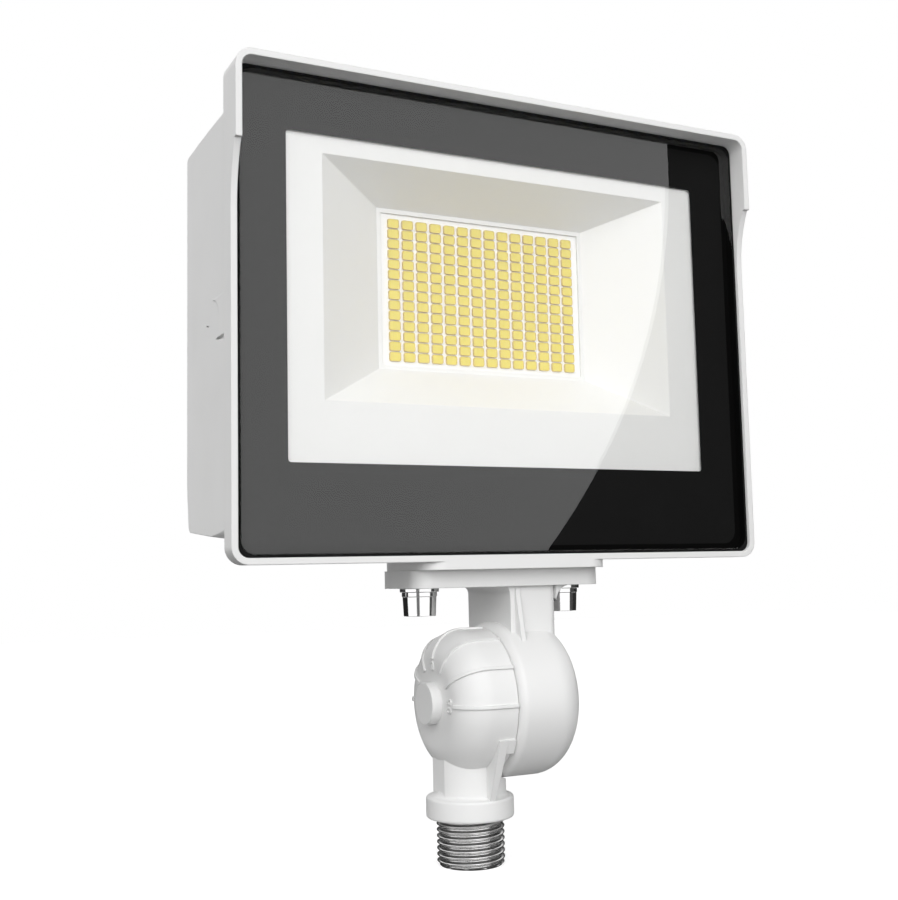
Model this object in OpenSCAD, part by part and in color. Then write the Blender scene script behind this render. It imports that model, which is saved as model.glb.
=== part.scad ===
// LED flood light on a knuckle mount, in millimetres.
// Z is up, the light faces -Y, and the origin lies on the thread's axis at the collar's underside.

/* [Head] */
// Width of the front frame
head_w = 180; // [150:1:230]
// Height of the front frame
head_h = 143.8; // [136:0.1:180]
// Sideways shift of the head's middle from the thread's axis
head_shift = 9.5; // [6:0.1:14]
// Distance from the thread's axis forward to the joint of frame and housing
joint_ahead = 12.8; // [11.5:0.1:14]

/* [Front frame] */
// Depth of the frame from its front face to the joint
frame_depth = 6.9; // [6.5:0.1:9]
// Thickness of the rim round the glass
rim_wall = 1.9; // [1.5:0.1:3]
// Outer corner radius
frame_corner = 5; // [4:0.5:8]
// Thickness of the ledge behind the glass
ledge_thick = 1.3; // [1:0.1:1.6]
// Width of the ledge at the two sides
ledge_side = 8; // [6:0.1:9]
// How far the visor stands ahead of the frame's face
visor_depth = 5.3; // [3:0.1:15]
// Height of the visor's full-depth side walls, measured from the top
visor_drop = 25.9; // [15:0.1:40]
// Height of the curved stretch below the side walls
visor_sweep = 18.8; // [12:0.1:24]
// Radius of the curved stretch
visor_curve = 44; // [40:1:80]

/* [Glass] */
// Thickness of the tempered glass
glass_thick = 3.2; // [2.5:0.1:3.7]
// Depth of the glass below the frame's front face
glass_sink = 0.9; // [0.5:0.1:1.2]
// Gap between the glass and the rim
glass_gap = 0.75; // [0.3:0.05:1]
// Corner radius of the glass
glass_corner = 4.5; // [3:0.5:6]
// Width of the printed border at each side
border_side = 17.6; // [17:0.1:24]
// Height of the clear window
window_h = 96.8; // [80:0.1:98]
// Height of the window's lower edge above the frame's underside
window_low = 28.7; // [26:0.1:32]
// Thickness of the printed black border
border_thick = 0.2; // [0.1:0.05:0.3]
// Margin of bare glass outside the printed border
border_margin = 2; // [0.5:0.1:2]
// Width of the silicone bead
seal_w = 2.6; // [2:0.1:3]

/* [Housing] */
// Depth of the housing behind the joint
housing_depth = 49.4; // [46:0.1:60]
// Drop from the frame's top to the housing's top
top_drop = 13; // [13:0.1:18]
// Rise from the frame's underside to the housing's underside
low_rise = 7.2; // [7:0.1:9]
// Side wall thickness
side_wall = 5.2; // [4.6:0.1:7]
// Top and bottom wall thickness
top_wall = 3.6; // [3.2:0.1:5]
// Inward slope of each side over the depth
side_draft = 1.6; // [0.5:0.1:2.5]
// Upward slope of the bottom over the depth
low_draft = 3.7; // [3:0.1:5]
// Height of the slanted lower rear face
rear_slant = 26.7; // [20:0.1:34]
// Depth of the slanted lower rear face
rear_slant_depth = 4.5; // [3:0.1:7]
// Thickness of the plate that carries the light board
plate_thick = 3.5; // [3:0.1:5]
// Thickness of each cooling fin
fin_thick = 2.2; // [1.5:0.1:3]
// Distance between fins
fin_pitch = 9.4; // [7:0.1:14]

/* [Light board] */
// Columns of light chips
chip_cols = 14; // [6:1:14]
// Rows of light chips
chip_rows = 14; // [6:1:14]
// Distance between columns
chip_pitch_x = 4.89; // [4.4:0.01:5]
// Distance between rows
chip_pitch_z = 3.26; // [3.1:0.01:3.35]
// Width of a chip
chip_w = 3.8; // [3:0.1:4]
// Height of a chip
chip_h = 2.9; // [2:0.1:3]
// Thickness of a chip
chip_thick = 0.7; // [0.5:0.05:0.9]
// Width of the board
board_w = 94; // [92:0.5:100]
// Height of the board
board_h = 58; // [54:0.5:60]
// Thickness of the board
board_thick = 1.6; // [1:0.1:2]
// Height of the chips' middle above the frame's underside
board_rise = 85.2; // [84:0.1:87]
// Distance from the joint back to the board's face
board_back = 13.7; // [13:0.1:15]
// Thickness of the heat pad under the board
pad_thick = 0.3; // [0.2:0.05:0.5]

/* [Reflector] */
// Sheet thickness
sheet = 0.6; // [0.5:0.05:0.7]
// Width of the funnel's mouth
mouth_w = 121.9; // [100:0.1:126]
// Width of the funnel's opening at the board
throat_w = 72.3; // [70:0.1:76]
// Height of the mouth above the chips' middle
mouth_up = 35; // [32:0.1:37]
// Depth of the mouth below the chips' middle
mouth_down = 38.3; // [34:0.1:41]
// Height of the throat above the chips' middle
throat_up = 24.3; // [23.5:0.1:26]
// Depth of the throat below the chips' middle
throat_down = 24; // [23.5:0.1:26]
// Width of the flat lip round the throat
lip_w = 1.4; // [1:0.1:2]

/* [Driver] */
// Width of the driver's case
driver_w = 116; // [90:1:130]
// Height of the driver's case
driver_h = 26; // [22:0.5:27]
// Depth of the driver's case
driver_d = 29; // [24:0.5:31]
// Wall of the driver's case
driver_wall = 1.5; // [1:0.1:2.5]
// Radius of each wire to the board
lead_r = 0.8; // [0.5:0.05:1]

/* [Knuckle] */
// Height of the pivot above the collar's underside
pivot_h = 34.75; // [33.5:0.05:40]
// Rise from the pivot to the flange's underside
arm_rise = 35; // [34:0.1:45]
// Radius of the arm's disc
disc_r = 23.9; // [23.5:0.1:27]
// Thickness of the arm's disc
disc_thick = 23.7; // [22.5:0.1:28]
// Radius of the lower half
dome_r = 21.9; // [21.7:0.1:25]
// Thickness of the lower half
dome_thick = 17.5; // [15.6:0.1:20]
// Rounding of the lower half's outer edge
dome_round = 9.8; // [7:0.1:10.4]
// Distance from the thread's axis to the joint face of the lower half
face_x = 5.7; // [5.5:0.1:7]
// Gap between the two joint faces
face_gap = 0.3; // [0.2:0.05:0.4]
// Radius of the blind boss
boss_r = 6.3; // [5.8:0.1:8]
// Length of the blind boss
boss_long = 3.3; // [3:0.1:7]
// Radius of the pivot bolt
pivot_r = 4; // [3:0.05:4.5]
// Gap between the pivot bolt and the arm's bore
pivot_fit = 0.06; // [0.02:0.01:0.09]
// Height of the scale's ribs
rib_high = 0.6; // [0.3:0.1:1]
// Width of the scale's ribs
rib_w = 1; // [0.6:0.1:1.5]
// Angle between the scale's ribs
rib_step = 30; // [15:15:45]

/* [Flange] */
// Thickness of the flange
flange_thick = 5.35; // [4:0.05:8]
// Width of the flange
flange_w = 65.3; // [64:0.1:75]
// Depth of the flange
flange_d = 27.8; // [27:0.1:34]
// Corner radius of the flange
flange_corner = 5.5; // [3:0.5:8]
// Thickness of the pad above the flange, at the frame
pad_drop = 2.4; // [1.5:0.1:4]
// Distance between the two flange bolts
bolt_span = 50.6; // [49:0.1:52]
// Radius of the flange bolts
bolt_r = 3; // [2.5:0.05:3.1]
// Radius of the wire hole through flange and housing
wire_r = 4.5; // [4:0.1:5]

/* [Stem and thread] */
// Radius of the collar
collar_r = 13.5; // [13:0.1:18]
// Height of the collar
collar_h = 6.4; // [4:0.1:9]
// Radius of the stem
stem_r = 11.2; // [11:0.1:12.2]
// Distance from the thread's axis to the stem's two flats
stem_flat = 10.5; // [10:0.1:10.9]
// Radius of the thread's crests
thread_r = 10.41; // [10:0.01:11]
// Length of the thread
thread_long = 14.2; // [9:0.1:25]
// Distance between crests
thread_pitch = 1.81; // [1:0.01:2]
// Inner radius of the threaded nipple
nipple_bore = 7.9; // [6:0.05:8.2]

/* [Hidden] */
$fn = 96;
SMALL_FN = 32;
BIG = 400;
CUT = 0.2;
// Play between pieces that lie against each other
slip = 0.05;

// Depths along Y, front to back
joint_y = -joint_ahead;
face_y = joint_y - frame_depth;
glass_y = face_y + glass_sink;
border_y = glass_y + glass_thick;
seal_y = border_y + border_thick;
ledge_y = joint_y - ledge_thick;
reflector_y = ledge_y - sheet - slip;
board_y = joint_y + board_back;
pad_y = board_y + board_thick;
plate_y = pad_y + pad_thick;
fin_y = plate_y + plate_thick;
rear_y = joint_y + housing_depth;

// Heights along Z, bottom to top
flange_z = pivot_h + arm_rise;
gasket_z = flange_z + flange_thick;
frame_z = gasket_z + pad_drop;
frame_top = frame_z + head_h;
low_z = frame_z + low_rise;
top_z = frame_top - top_drop;
chip_z = frame_z + board_rise;
window_z = frame_z + window_low;
window_top = window_z + window_h;

// Window of the glass
window_w = head_w - 2 * border_side;

// Driver bay below the light board
bay_drop = 14.6;
bay_top = chip_z - throat_down - bay_drop;
bay_roof = 3;
bay_wall = 3.2;
driver_gap = 3.6;
driver_top = bay_top - driver_gap;
driver_z = driver_top - driver_h;
driver_back = 24;
driver_y = driver_back - driver_d;
driver_ear = 12;
driver_ear_t = 1.6;
driver_floor = 5;
foot_x = driver_w / 2 + driver_ear / 2;
foot_r = 4;
driver_pcb = 1.6;
driver_screw_long = 6.5;
driver_front = driver_back - driver_floor - driver_pcb;
lead_span = 12;
lead_top = chip_z - throat_down - lip_w - sheet - 2 * lead_r;
lead_y = board_y - lead_r - slip;
lead_in = 2 * driver_wall;
transformer = [22, 15, 18];
choke = [14, 11, 12];
can_r = 5;
can_long = 17;
can_gap = 13;
coil_space = 14;

// Frame screws, two above the housing and two below
screw_r = 1.95;
screw_head_r = 3.4;
screw_head_t = 2.4;
screw_x = head_w / 2 - 20;
screw_up_z = top_z + 5.2;
screw_low_z = frame_z + low_rise / 2;
stud_r = low_rise / 2 - 0.2;
stud_long = 6;
lug_thick = 3.5;
lug_w = 11;

// Reflector posts and cups
cup_r = 4.1;
cup_deep = 2.5;
post_x = head_w / 2 - ledge_side - cup_r - 0.2;
post_rise = [-26, 34];
post_web = 3;
small_screw_r = 1.45;
small_head_r = 2.8;
small_head_t = 1.9;
cup_screw_long = 8;
board_screw_long = 4.4;
board_screw_x = board_w / 2 - 3.5;
board_screw_z = 20;

// Flange stack
bolt_x = bolt_span / 2;
washer_r = 6;
washer_thick = 1.15;
spring_thick = 1.4;
spring_r = 5.4;
spring_cut = 0.8;
head_r = 5.2;
head_tip_r = 4.9;
head_taper = 1.2;
head_long = 5.9;
socket_r = 2.9;
bolt_hold = 8;
bolt_tip = 1;
wire_x = face_x + face_gap + disc_thick / 2 + 0.1;
pad_w = flange_w - 1.1;
pad_corner = 6.7;
pad_back = 14.4;
flange_y = -flange_d / 2 + 0.1;
flange_back = flange_d / 2 + 0.1;

// Flat pad on each side wall
side_pad_low = frame_z + 63.2;
side_pad_high = frame_z + 76.5;
side_pad_back = joint_y + 18.2;
side_pad_rise = 3;
notch_long = 10;
notch_high = 1.6;
notch_tilt = 35;
notch_end = side_pad_low + side_pad_rise * notch_long / (side_pad_back - joint_y);

// Grommet in the bay's floor
bay_slope = low_draft / (housing_depth - rear_slant_depth);
bay_floor = low_z + top_wall;
grommet_r = wire_r + 1.8;
grommet_t = 1.6;
grommet_z = bay_floor + bay_slope * (grommet_r - joint_y) + slip;

// Knuckle
disc_x = face_x + face_gap;
disc_end = disc_x + disc_thick;
disc_near = 2.5;
disc_far = 9.4;
arm_x = disc_x + 3.6;
arm_side = disc_end - 3.5;
arm_y = -11.6;
arm_back = 16.6;
arm_plate = 1.6;
arm_edge = 2.5;
fillet_right = 5;
fillet_left = 2.5;
hub_r = 9;
disc_hollow = 17.5;
disc_floor = 14;
sink_r = 8.2;
sink_deep = 8.7;
seat_x = disc_end - sink_deep + face_gap;
pivot_washer_t = 1.6;
pivot_head = 5;
dome_x = face_x - dome_thick;
dome_hollow = 17.5;
dome_floor = 10.2;
boss_x = dome_x - boss_long;
boss_end = 2.6;
groove_r = 19.4;
groove_w = 2;
groove_deep = 1.3;
ring_r = 0.6;
thread_gap = 0.04;
stem_bore = 4.2;
stem_gap = 0.5;
socket_z = 8;
foot_round = 1.8;
gusset_left = 0.1;
gusset_right = 3.2;
gusset_foot = 2;
gusset_top = 10.1;
gusset_out = 20.2;
gusset_block = 4.2;
gusset_slant = 1.8;
scale_in = 10.6;
scale_in_marked = 13.4;
mark_r = 11.2;
mark_high = 0.4;

// Thread
land = 0.5;
flank = (thread_pitch - land - 0.2) / 2;
thread_deep = flank * 1.732;
thread_root = thread_r - thread_deep;
turns = floor((thread_long - land) / thread_pitch);
spigot_r = thread_root - 0.25;
tip_chamfer = 0.8;

function unit(v) = v / norm(v);
function turn(p, i) = p[(i + len(p)) % len(p)];
function along(p, i, step) = unit(turn(p, i + step) - p[i]);
function half_sin(p, i) = sqrt((1 - along(p, i, 1) * along(p, i, -1)) / 2);
function half_tan(p, i) = half_sin(p, i) / sqrt(1 - pow(half_sin(p, i), 2));
function tangent(p, r, i, step) = p[i] + along(p, i, step) * r[i] / half_tan(p, i);
function corner_mid(p, r, i) =
    p[i] + unit(along(p, i, 1) + along(p, i, -1)) * r[i] / half_sin(p, i);

// Convex outline p whose corner i is rounded with the radius r[i]
module soft_outline(p, r) {
    intersection() {
        polygon(p);
        union() {
            polygon([for (i = [0 : len(p) - 1], step = [-1, 1]) tangent(p, r, i, step)]);
            for (i = [0 : len(p) - 1])
                if (r[i] > 0) translate(corner_mid(p, r, i)) circle(r = r[i]);
        }
    }
}

// Rectangle between two opposite corners, with one radius at all four
module soft_box(lo, hi, r) {
    soft_outline([lo, [hi[0], lo[1]], hi, [lo[0], hi[1]]], [r, r, r, r]);
}

// Extrudes an X-Z outline from depth y0 back to depth y1
module slab(y0, y1) {
    translate([0, y1, 0]) rotate([90, 0, 0]) linear_extrude(y1 - y0) children();
}

// Extrudes a Y-Z outline from x0 to x1
module strip(x0, x1) {
    translate([x0, 0, 0]) rotate([90, 0, 90]) linear_extrude(x1 - x0) children();
}

// A round bar along Y from depth y0 back to depth y1
module bar(x, z, y0, y1, r) {
    translate([x, y1, z]) rotate([90, 0, 0]) cylinder(r = r, h = y1 - y0);
}

// A round bar on the pivot's axis from x0 to x1
module pin(x0, x1, r) {
    translate([x0, 0, pivot_h]) rotate([0, 90, 0]) cylinder(r = r, h = x1 - x0);
}

// Turns a profile of [radius, x] points round the pivot's axis
module turned() {
    translate([0, 0, pivot_h]) rotate([0, 90, 0]) rotate_extrude() intersection() {
        children();
        translate([0, -BIG / 2]) square([BIG, BIG]);
    }
}

// Places children about the head's own middle
module in_head() {
    translate([head_shift, 0, 0]) children();
}

// The four frame screws: places children at [x, 0, z]
module at_frame_screws() {
    for (x = [-screw_x, screw_x], z = [screw_low_z, screw_up_z])
        translate([x, 0, z]) children();
}

module at_posts() {
    for (x = [-post_x, post_x], rise = post_rise)
        translate([x, 0, chip_z + rise]) children();
}

module at_board_screws() {
    for (x = [-board_screw_x, board_screw_x], z = [-board_screw_z, board_screw_z])
        translate([x, 0, chip_z + z]) children();
}

module at_feet() {
    for (x = [-foot_x, foot_x])
        translate([x, 0, driver_z + driver_h / 2]) children();
}

// The housing's outer form: side profile and plan cut from one block
module housing_form() {
    plan_half = head_w / 2;
    rear_half = plan_half - side_draft;
    side = [[joint_y, low_z], [rear_y - rear_slant_depth, low_z + low_draft],
        [rear_y, low_z + low_draft + rear_slant], [rear_y, top_z], [joint_y, top_z]];
    plan = [[-plan_half, joint_y], [plan_half, joint_y], [rear_half, rear_y], [-rear_half, rear_y]];
    intersection() {
        strip(-plan_half - 1, plan_half + 1) soft_outline(side, [0, 3, 6, 6, 0]);
        linear_extrude(BIG) soft_outline(plan, [0, 0, 2.5, 2.5]);
        slab(joint_y, rear_y) soft_box([-plan_half, low_z], [plan_half, top_z], frame_corner - rim_wall);
    }
}

// The hollow for light board and driver
module housing_hollow() {
    bay_low = rear_y - rear_slant_depth - bay_wall;
    slant = rear_slant_depth / rear_slant;
    bay_rear = bay_low + slant * (bay_top - low_z - low_draft - top_wall);
    strip(-head_w / 2 + side_wall, head_w / 2 - side_wall)
        polygon([[joint_y - CUT, bay_floor], [joint_y, bay_floor],
            [bay_low, bay_floor + bay_slope * (bay_low - joint_y)], [bay_rear, bay_top],
            [plate_y, bay_top], [plate_y, top_z - top_wall], [joint_y - CUT, top_z - top_wall]]);
}

// The channels between the fins, open at the top and the rear
module fin_channels() {
    inner = head_w / 2 - side_draft - 2.6;
    count = floor((2 * inner + fin_thick) / fin_pitch);
    gap = fin_pitch - fin_thick;
    for (i = [0 : count - 1]) {
        x = (i - (count - 1) / 2) * fin_pitch;
        strip(x - gap / 2, x + gap / 2)
            polygon([[fin_y, bay_top + bay_roof + 4], [rear_y + 1, bay_top + bay_roof],
                [rear_y + 1, top_z + 1], [fin_y, top_z + 1]]);
    }
}

// The block behind the light board that the fins fill
module fin_room(y_end) {
    half = head_w / 2 - side_wall;
    translate([-half, plate_y, bay_top + bay_roof]) cube([2 * half, y_end - plate_y, BIG]);
}

// The pad under the head, cut from one rounded outline for frame and housing
module pad_outline() {
    soft_box([-pad_w / 2, face_y], [pad_w / 2, pad_back], pad_corner);
}

module rear_housing() color("gainsboro") in_head() {
    post_y = reflector_y + cup_deep + sheet;
    web_x = head_w / 2 - side_wall / 2;
    difference() {
        union() {
            difference() {
                housing_form();
                housing_hollow();
                fin_room(rear_y + 1);
            }
            // Posts for the reflector, each on a web from the side wall
            at_posts() bar(0, 0, post_y, plate_y, cup_r - 1);
            for (s = [-1, 1], rise = post_rise)
                translate([s * (post_x + web_x) / 2, (post_y + 1 + plate_y) / 2, chip_z + rise])
                    cube([web_x - post_x, plate_y - post_y - 1, post_web], center = true);
            // Feet for the driver
            intersection() {
                at_feet() bar(0, 0, driver_back, rear_y - bay_wall, foot_r);
                housing_form();
            }
            // Pad that the flange bolts up to
            difference() {
                translate([0, 0, gasket_z]) linear_extrude(low_z + 1.5 - gasket_z) pad_outline();
                translate([0, joint_y - BIG / 2, 0]) cube([BIG, BIG, BIG], center = true);
            }
            // Lugs for the frame screws
            for (x = [-screw_x, screw_x]) {
                translate([x - lug_w / 2, joint_y + stud_long + CUT, top_z - 1])
                    cube([lug_w, lug_thick, screw_up_z - top_z + 5]);
                translate([x - lug_w / 2, joint_y + stud_long + CUT, frame_z + 0.3])
                    cube([lug_w, lug_thick, low_rise + 1]);
            }
            // Flat pad on each side wall, flush with the frame
            for (s = [-1, 1]) intersection() {
                strip(s * head_w / 2 - 2.5, s * head_w / 2 + 2.5)
                    soft_outline([[joint_y, side_pad_low], [side_pad_back, side_pad_low + side_pad_rise],
                        [side_pad_back, side_pad_high], [joint_y, side_pad_high]], [0, 5, 6.5, 0]);
                translate([-head_w / 2, joint_y, 0]) cube([head_w, housing_depth, BIG]);
            }
        }
        // Notch at each side pad's lower front corner, deeper towards its top
        for (s = [-1, 1]) intersection() {
            strip(s * head_w / 2 - 3, s * head_w / 2 + 3)
                polygon([[joint_y - 1, side_pad_low], [joint_y, side_pad_low],
                    [joint_y + notch_long, notch_end],
                    [joint_y, side_pad_low + notch_high], [joint_y - 1, side_pad_low + notch_high]]);
            translate([s * head_w / 2, -BIG / 2, side_pad_low]) rotate([0, -s * notch_tilt, 0])
                translate([s > 0 ? 0 : -BIG, 0, -1]) cube([BIG, BIG, BIG]);
        }
        // Tapped holes for the screws
        at_posts() bar(0, 0, reflector_y + cup_deep, plate_y - 1, small_screw_r + 0.05);
        at_feet() bar(0, 0, driver_back - 1, driver_back + 5.5, screw_r + 0.05);
        at_frame_screws() bar(0, 0, joint_y, joint_y + stud_long + lug_thick + 1, screw_r + 0.3);
        for (x = [-bolt_x, bolt_x])
            translate([x, 0, gasket_z - 1]) cylinder(r = bolt_r + 0.05, h = bolt_hold + bolt_tip + 1);
        translate([wire_x - head_shift, 0, gasket_z - 1]) cylinder(r = wire_r, h = BIG / 10);
        // Groove for the frame gasket
        slab(joint_y - CUT, joint_y + 1.2) gasket_ring(1.6);
    }
}

module cooling_fins() color("gainsboro") in_head() difference() {
    intersection() {
        housing_form();
        fin_room(rear_y + 1);
    }
    fin_channels();
    at_board_screws() bar(0, 0, plate_y - 1, plate_y + plate_thick - 0.6, small_screw_r + 0.05);
}

// Ring of the frame gasket in the X-Z plane
module gasket_ring(w) {
    x = head_w / 2 - side_wall / 2;
    lo = low_z + top_wall / 2;
    hi = top_z - top_wall / 2;
    difference() {
        soft_box([-x - w / 2, lo - w / 2], [x + w / 2, hi + w / 2], 4);
        soft_box([-x + w / 2, lo + w / 2], [x - w / 2, hi - w / 2], 4 - w);
    }
}

module front_frame() color("whitesmoke") in_head() {
    half = head_w / 2;
    inner = half - rim_wall;
    rim_r = frame_corner - rim_wall;
    drop_z = frame_top - visor_drop;
    sweep_z = drop_z - visor_sweep;
    difference() {
        union() {
            // Frame and visor as one block, cut back below by the curved sweep
            difference() {
                slab(face_y - visor_depth, joint_y)
                    soft_box([-half, frame_z], [half, frame_top], frame_corner);
                translate([-BIG / 2, face_y - BIG, -BIG + sweep_z]) cube([BIG, BIG, BIG]);
                intersection() {
                    translate([-BIG / 2, face_y - BIG, 0]) cube([BIG, BIG, drop_z]);
                    strip(-BIG / 2, BIG / 2) difference() {
                        translate([face_y - BIG, 0]) square([BIG, drop_z]);
                        translate([face_y - visor_curve, sweep_z - visor_curve])
                            square([visor_curve, visor_curve]);
                        difference() {
                            translate([face_y - visor_curve, sweep_z])
                                square([visor_curve, visor_curve]);
                            translate([face_y - visor_curve, sweep_z]) circle(r = visor_curve, $fn = 192);
                        }
                    }
                }
            }
            // Front tab of the pad
            intersection() {
                translate([0, 0, gasket_z]) linear_extrude(pad_drop + 1) pad_outline();
                translate([-BIG / 2, face_y, 0]) cube([BIG, frame_depth, BIG]);
            }
            at_frame_screws() bar(0, 0, joint_y - 0.5, joint_y + stud_long, stud_r);
        }
        // Seat of the glass
        slab(face_y - visor_depth - 1, ledge_y)
            soft_box([-inner, frame_z + rim_wall], [inner, frame_top - rim_wall], rim_r);
        // Opening through the ledge
        slab(ledge_y - 1, joint_y + 1)
            soft_box([-inner + ledge_side - rim_wall, low_z + top_wall],
                [inner - ledge_side + rim_wall, top_z - top_wall], rim_r);
        at_frame_screws() bar(0, 0, joint_y - 0.6, joint_y + stud_long + 1, screw_r + 0.05);
    }
}

// Outline of the glass, grown or shrunk by an amount
module glass_outline(grow) {
    edge = rim_wall + glass_gap - grow;
    soft_box([-head_w / 2 + edge, frame_z + edge], [head_w / 2 - edge, frame_top - edge], glass_corner);
}

module lens_glass() color([0.85, 0.9, 0.95, 0.35]) in_head()
    slab(glass_y, border_y) glass_outline(0);

module lens_border() color("black") in_head()
    slab(border_y, seal_y) difference() {
        glass_outline(-border_margin);
        soft_box([-window_w / 2, window_z], [window_w / 2, window_top], 1);
    }

module lens_seal() color("dimgray") in_head()
    slab(seal_y, ledge_y) difference() {
        glass_outline(-border_margin);
        glass_outline(-border_margin - seal_w);
    }

module frame_gasket() color("dimgray") in_head()
    slab(joint_y, joint_y + 1.2) gasket_ring(1.6);

// Pan-head screw along Y, its head's seat at depth 0 and its shank towards -Y
module pan_screw(r, head_r, head_t, long) {
    difference() {
        union() {
            bar(0, 0, -long, 0, r);
            bar(0, 0, 0, head_t * 0.6, head_r);
            bar(0, 0, 0, head_t, head_r - 0.5);
        }
        for (a = [0, 90]) rotate([0, a, 0])
            translate([-r, head_t - 1, -0.35]) cube([2 * r, 2, 0.7]);
    }
}

module frame_screws() color("silver") in_head()
    at_frame_screws() translate([0, joint_y + stud_long + CUT + lug_thick, 0])
        pan_screw(screw_r, screw_head_r, screw_head_t, stud_long + lug_thick + 0.4);

// Pyramid between the throat at the board and the mouth at the rim, pushed out by an amount
module funnel(out, y_front, y_back) {
    throat_y = board_y - 2 * slip - sheet;
    reach = throat_y - reflector_y;
    grow = [for (y = [y_front, y_back]) (throat_y - y) / reach];
    hull() for (k = [0, 1]) {
        w = throat_w / 2 + lip_w + (mouth_w / 2 - throat_w / 2 - lip_w) * grow[k] + out;
        up = throat_up + lip_w + (mouth_up - throat_up - lip_w) * grow[k] + out;
        down = throat_down + lip_w + (mouth_down - throat_down - lip_w) * grow[k] + out;
        y = k == 0 ? y_front : y_back - 0.01;
        translate([-w, y, chip_z - down]) cube([2 * w, 0.01, up + down]);
    }
}

module reflector() color("white") in_head() {
    edge = rim_wall + glass_gap + border_margin + seal_w + 0.3;
    rear = board_y - 2 * slip;
    difference() {
        union() {
            slab(reflector_y, reflector_y + sheet)
                soft_box([-head_w / 2 + edge, low_z + 2], [head_w / 2 - edge, top_z - 2], 3);
            funnel(1.1, reflector_y, rear);
            at_posts() bar(0, 0, reflector_y, reflector_y + cup_deep + sheet, cup_r);
        }
        funnel(0, reflector_y - 0.5, rear - sheet);
        translate([-throat_w / 2, 0, chip_z - throat_down]) mirror([0, 1, 0])
            translate([0, -rear - 1, 0]) cube([throat_w, sheet + 2, throat_up + throat_down]);
        at_posts() bar(0, 0, reflector_y - 1, reflector_y + cup_deep, cup_r - sheet);
        at_posts() bar(0, 0, reflector_y, rear, small_screw_r + 0.25);
    }
}

module reflector_screws() color("silver") in_head()
    at_posts() translate([0, reflector_y + cup_deep, 0]) rotate([0, 0, 180])
        pan_screw(small_screw_r, small_head_r, small_head_t, cup_screw_long);

module led_board() color("white") in_head() difference() {
    slab(board_y, pad_y)
        soft_box([-board_w / 2, chip_z - board_h / 2], [board_w / 2, chip_z + board_h / 2], 2);
    at_board_screws() bar(0, 0, board_y - 1, pad_y + 1, small_screw_r + 0.2);
}

module led_chips() color("gold") in_head()
    for (i = [0 : chip_cols - 1], j = [0 : chip_rows - 1])
        translate([(i - (chip_cols - 1) / 2) * chip_pitch_x - chip_w / 2, board_y - chip_thick,
            chip_z + (j - (chip_rows - 1) / 2) * chip_pitch_z - chip_h / 2])
            cube([chip_w, chip_thick, chip_h]);

module board_screws() color("silver") in_head()
    at_board_screws() translate([0, board_y, 0]) rotate([0, 0, 180])
        pan_screw(small_screw_r, small_head_r, small_head_t, board_screw_long);

module heat_pad() color("lightgray") in_head()
    slab(pad_y, plate_y) soft_box([-board_screw_x + 4, chip_z - board_h / 2 + 1],
        [board_screw_x - 4, chip_z + board_h / 2 - 1], 1);

// Outline of the driver's case from the front, shrunk by an amount
module driver_outline(in) {
    soft_box([-driver_w / 2 + in, driver_z + in], [driver_w / 2 - in, driver_top - in], 2.5 - in / 2);
}

module driver_case() color("silver") in_head() difference() {
    union() {
        slab(driver_y + driver_wall, driver_back) driver_outline(0);
        slab(driver_back - driver_ear_t, driver_back)
            soft_box([-driver_w / 2 - driver_ear, driver_z + 7],
                [driver_w / 2 + driver_ear, driver_top - 7], 3);
    }
    difference() {
        slab(driver_y, driver_back - driver_wall) driver_outline(driver_wall);
        for (x = [-1, 1], z = [driver_z + 5, driver_top - 5])
            bar(x * (driver_w / 2 - 6), z, driver_back - driver_floor, driver_back, 2.5);
    }
    at_feet() bar(0, 0, driver_back - 5, driver_back + 1, screw_r + 0.3);
    at_leads() cylinder(r = lead_r + 0.1, h = driver_gap + lead_in);
}

// The two wires from the driver up to the board: places children at the driver's roof
module at_leads() {
    for (x = [-lead_span / 2, lead_span / 2])
        translate([x, lead_y, driver_top - lead_in]) children();
}

module driver_cover() color("lightgray") in_head()
    slab(driver_y, driver_y + driver_wall) driver_outline(0);

module driver_board() color("darkgreen") in_head()
    slab(driver_front, driver_front + driver_pcb) driver_outline(driver_wall + 0.5);

// A block that stands on the driver's board, w wide, t deep and h high, its middle at x
module coil_block(x, w, t, h, grow) {
    mid = driver_z + driver_h / 2;
    slab(driver_front - t - grow, driver_front)
        soft_box([x - w / 2 - grow, mid - h / 2 - grow], [x + w / 2 + grow, mid + h / 2 + grow], 1);
}

// Transformer, choke and storage cans on the driver's board, grown by an amount
module coil_shapes(grow) {
    coil_block(-transformer[0] / 2, transformer[0], transformer[1], transformer[2], grow);
    coil_block(-transformer[0] - coil_space - choke[0] / 2, choke[0], choke[1], choke[2], grow);
    for (i = [0, 1])
        bar(coil_space + can_r + i * can_gap, driver_z + driver_h / 2,
            driver_front - can_long - grow, driver_front, can_r + grow);
}

module driver_coils() color("goldenrod") in_head() coil_shapes(0);

// Potting compound in front of the driver's board
module driver_potting() color("dimgray") in_head() difference() {
    slab(driver_y + driver_wall, driver_front) driver_outline(driver_wall);
    translate([0, slip, 0]) coil_shapes(2 * slip);
    at_leads() translate([0, 0, -slip]) cylinder(r = lead_r + 0.1, h = lead_in + 1);
}

module driver_screws() color("silver") in_head()
    at_feet() translate([0, driver_back - driver_ear_t, 0]) rotate([0, 0, 180])
        pan_screw(screw_r, screw_head_r, screw_head_t, driver_screw_long);

module led_leads() color("crimson") in_head()
    at_leads() cylinder(r = lead_r, h = lead_top - driver_top + lead_in);

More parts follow.
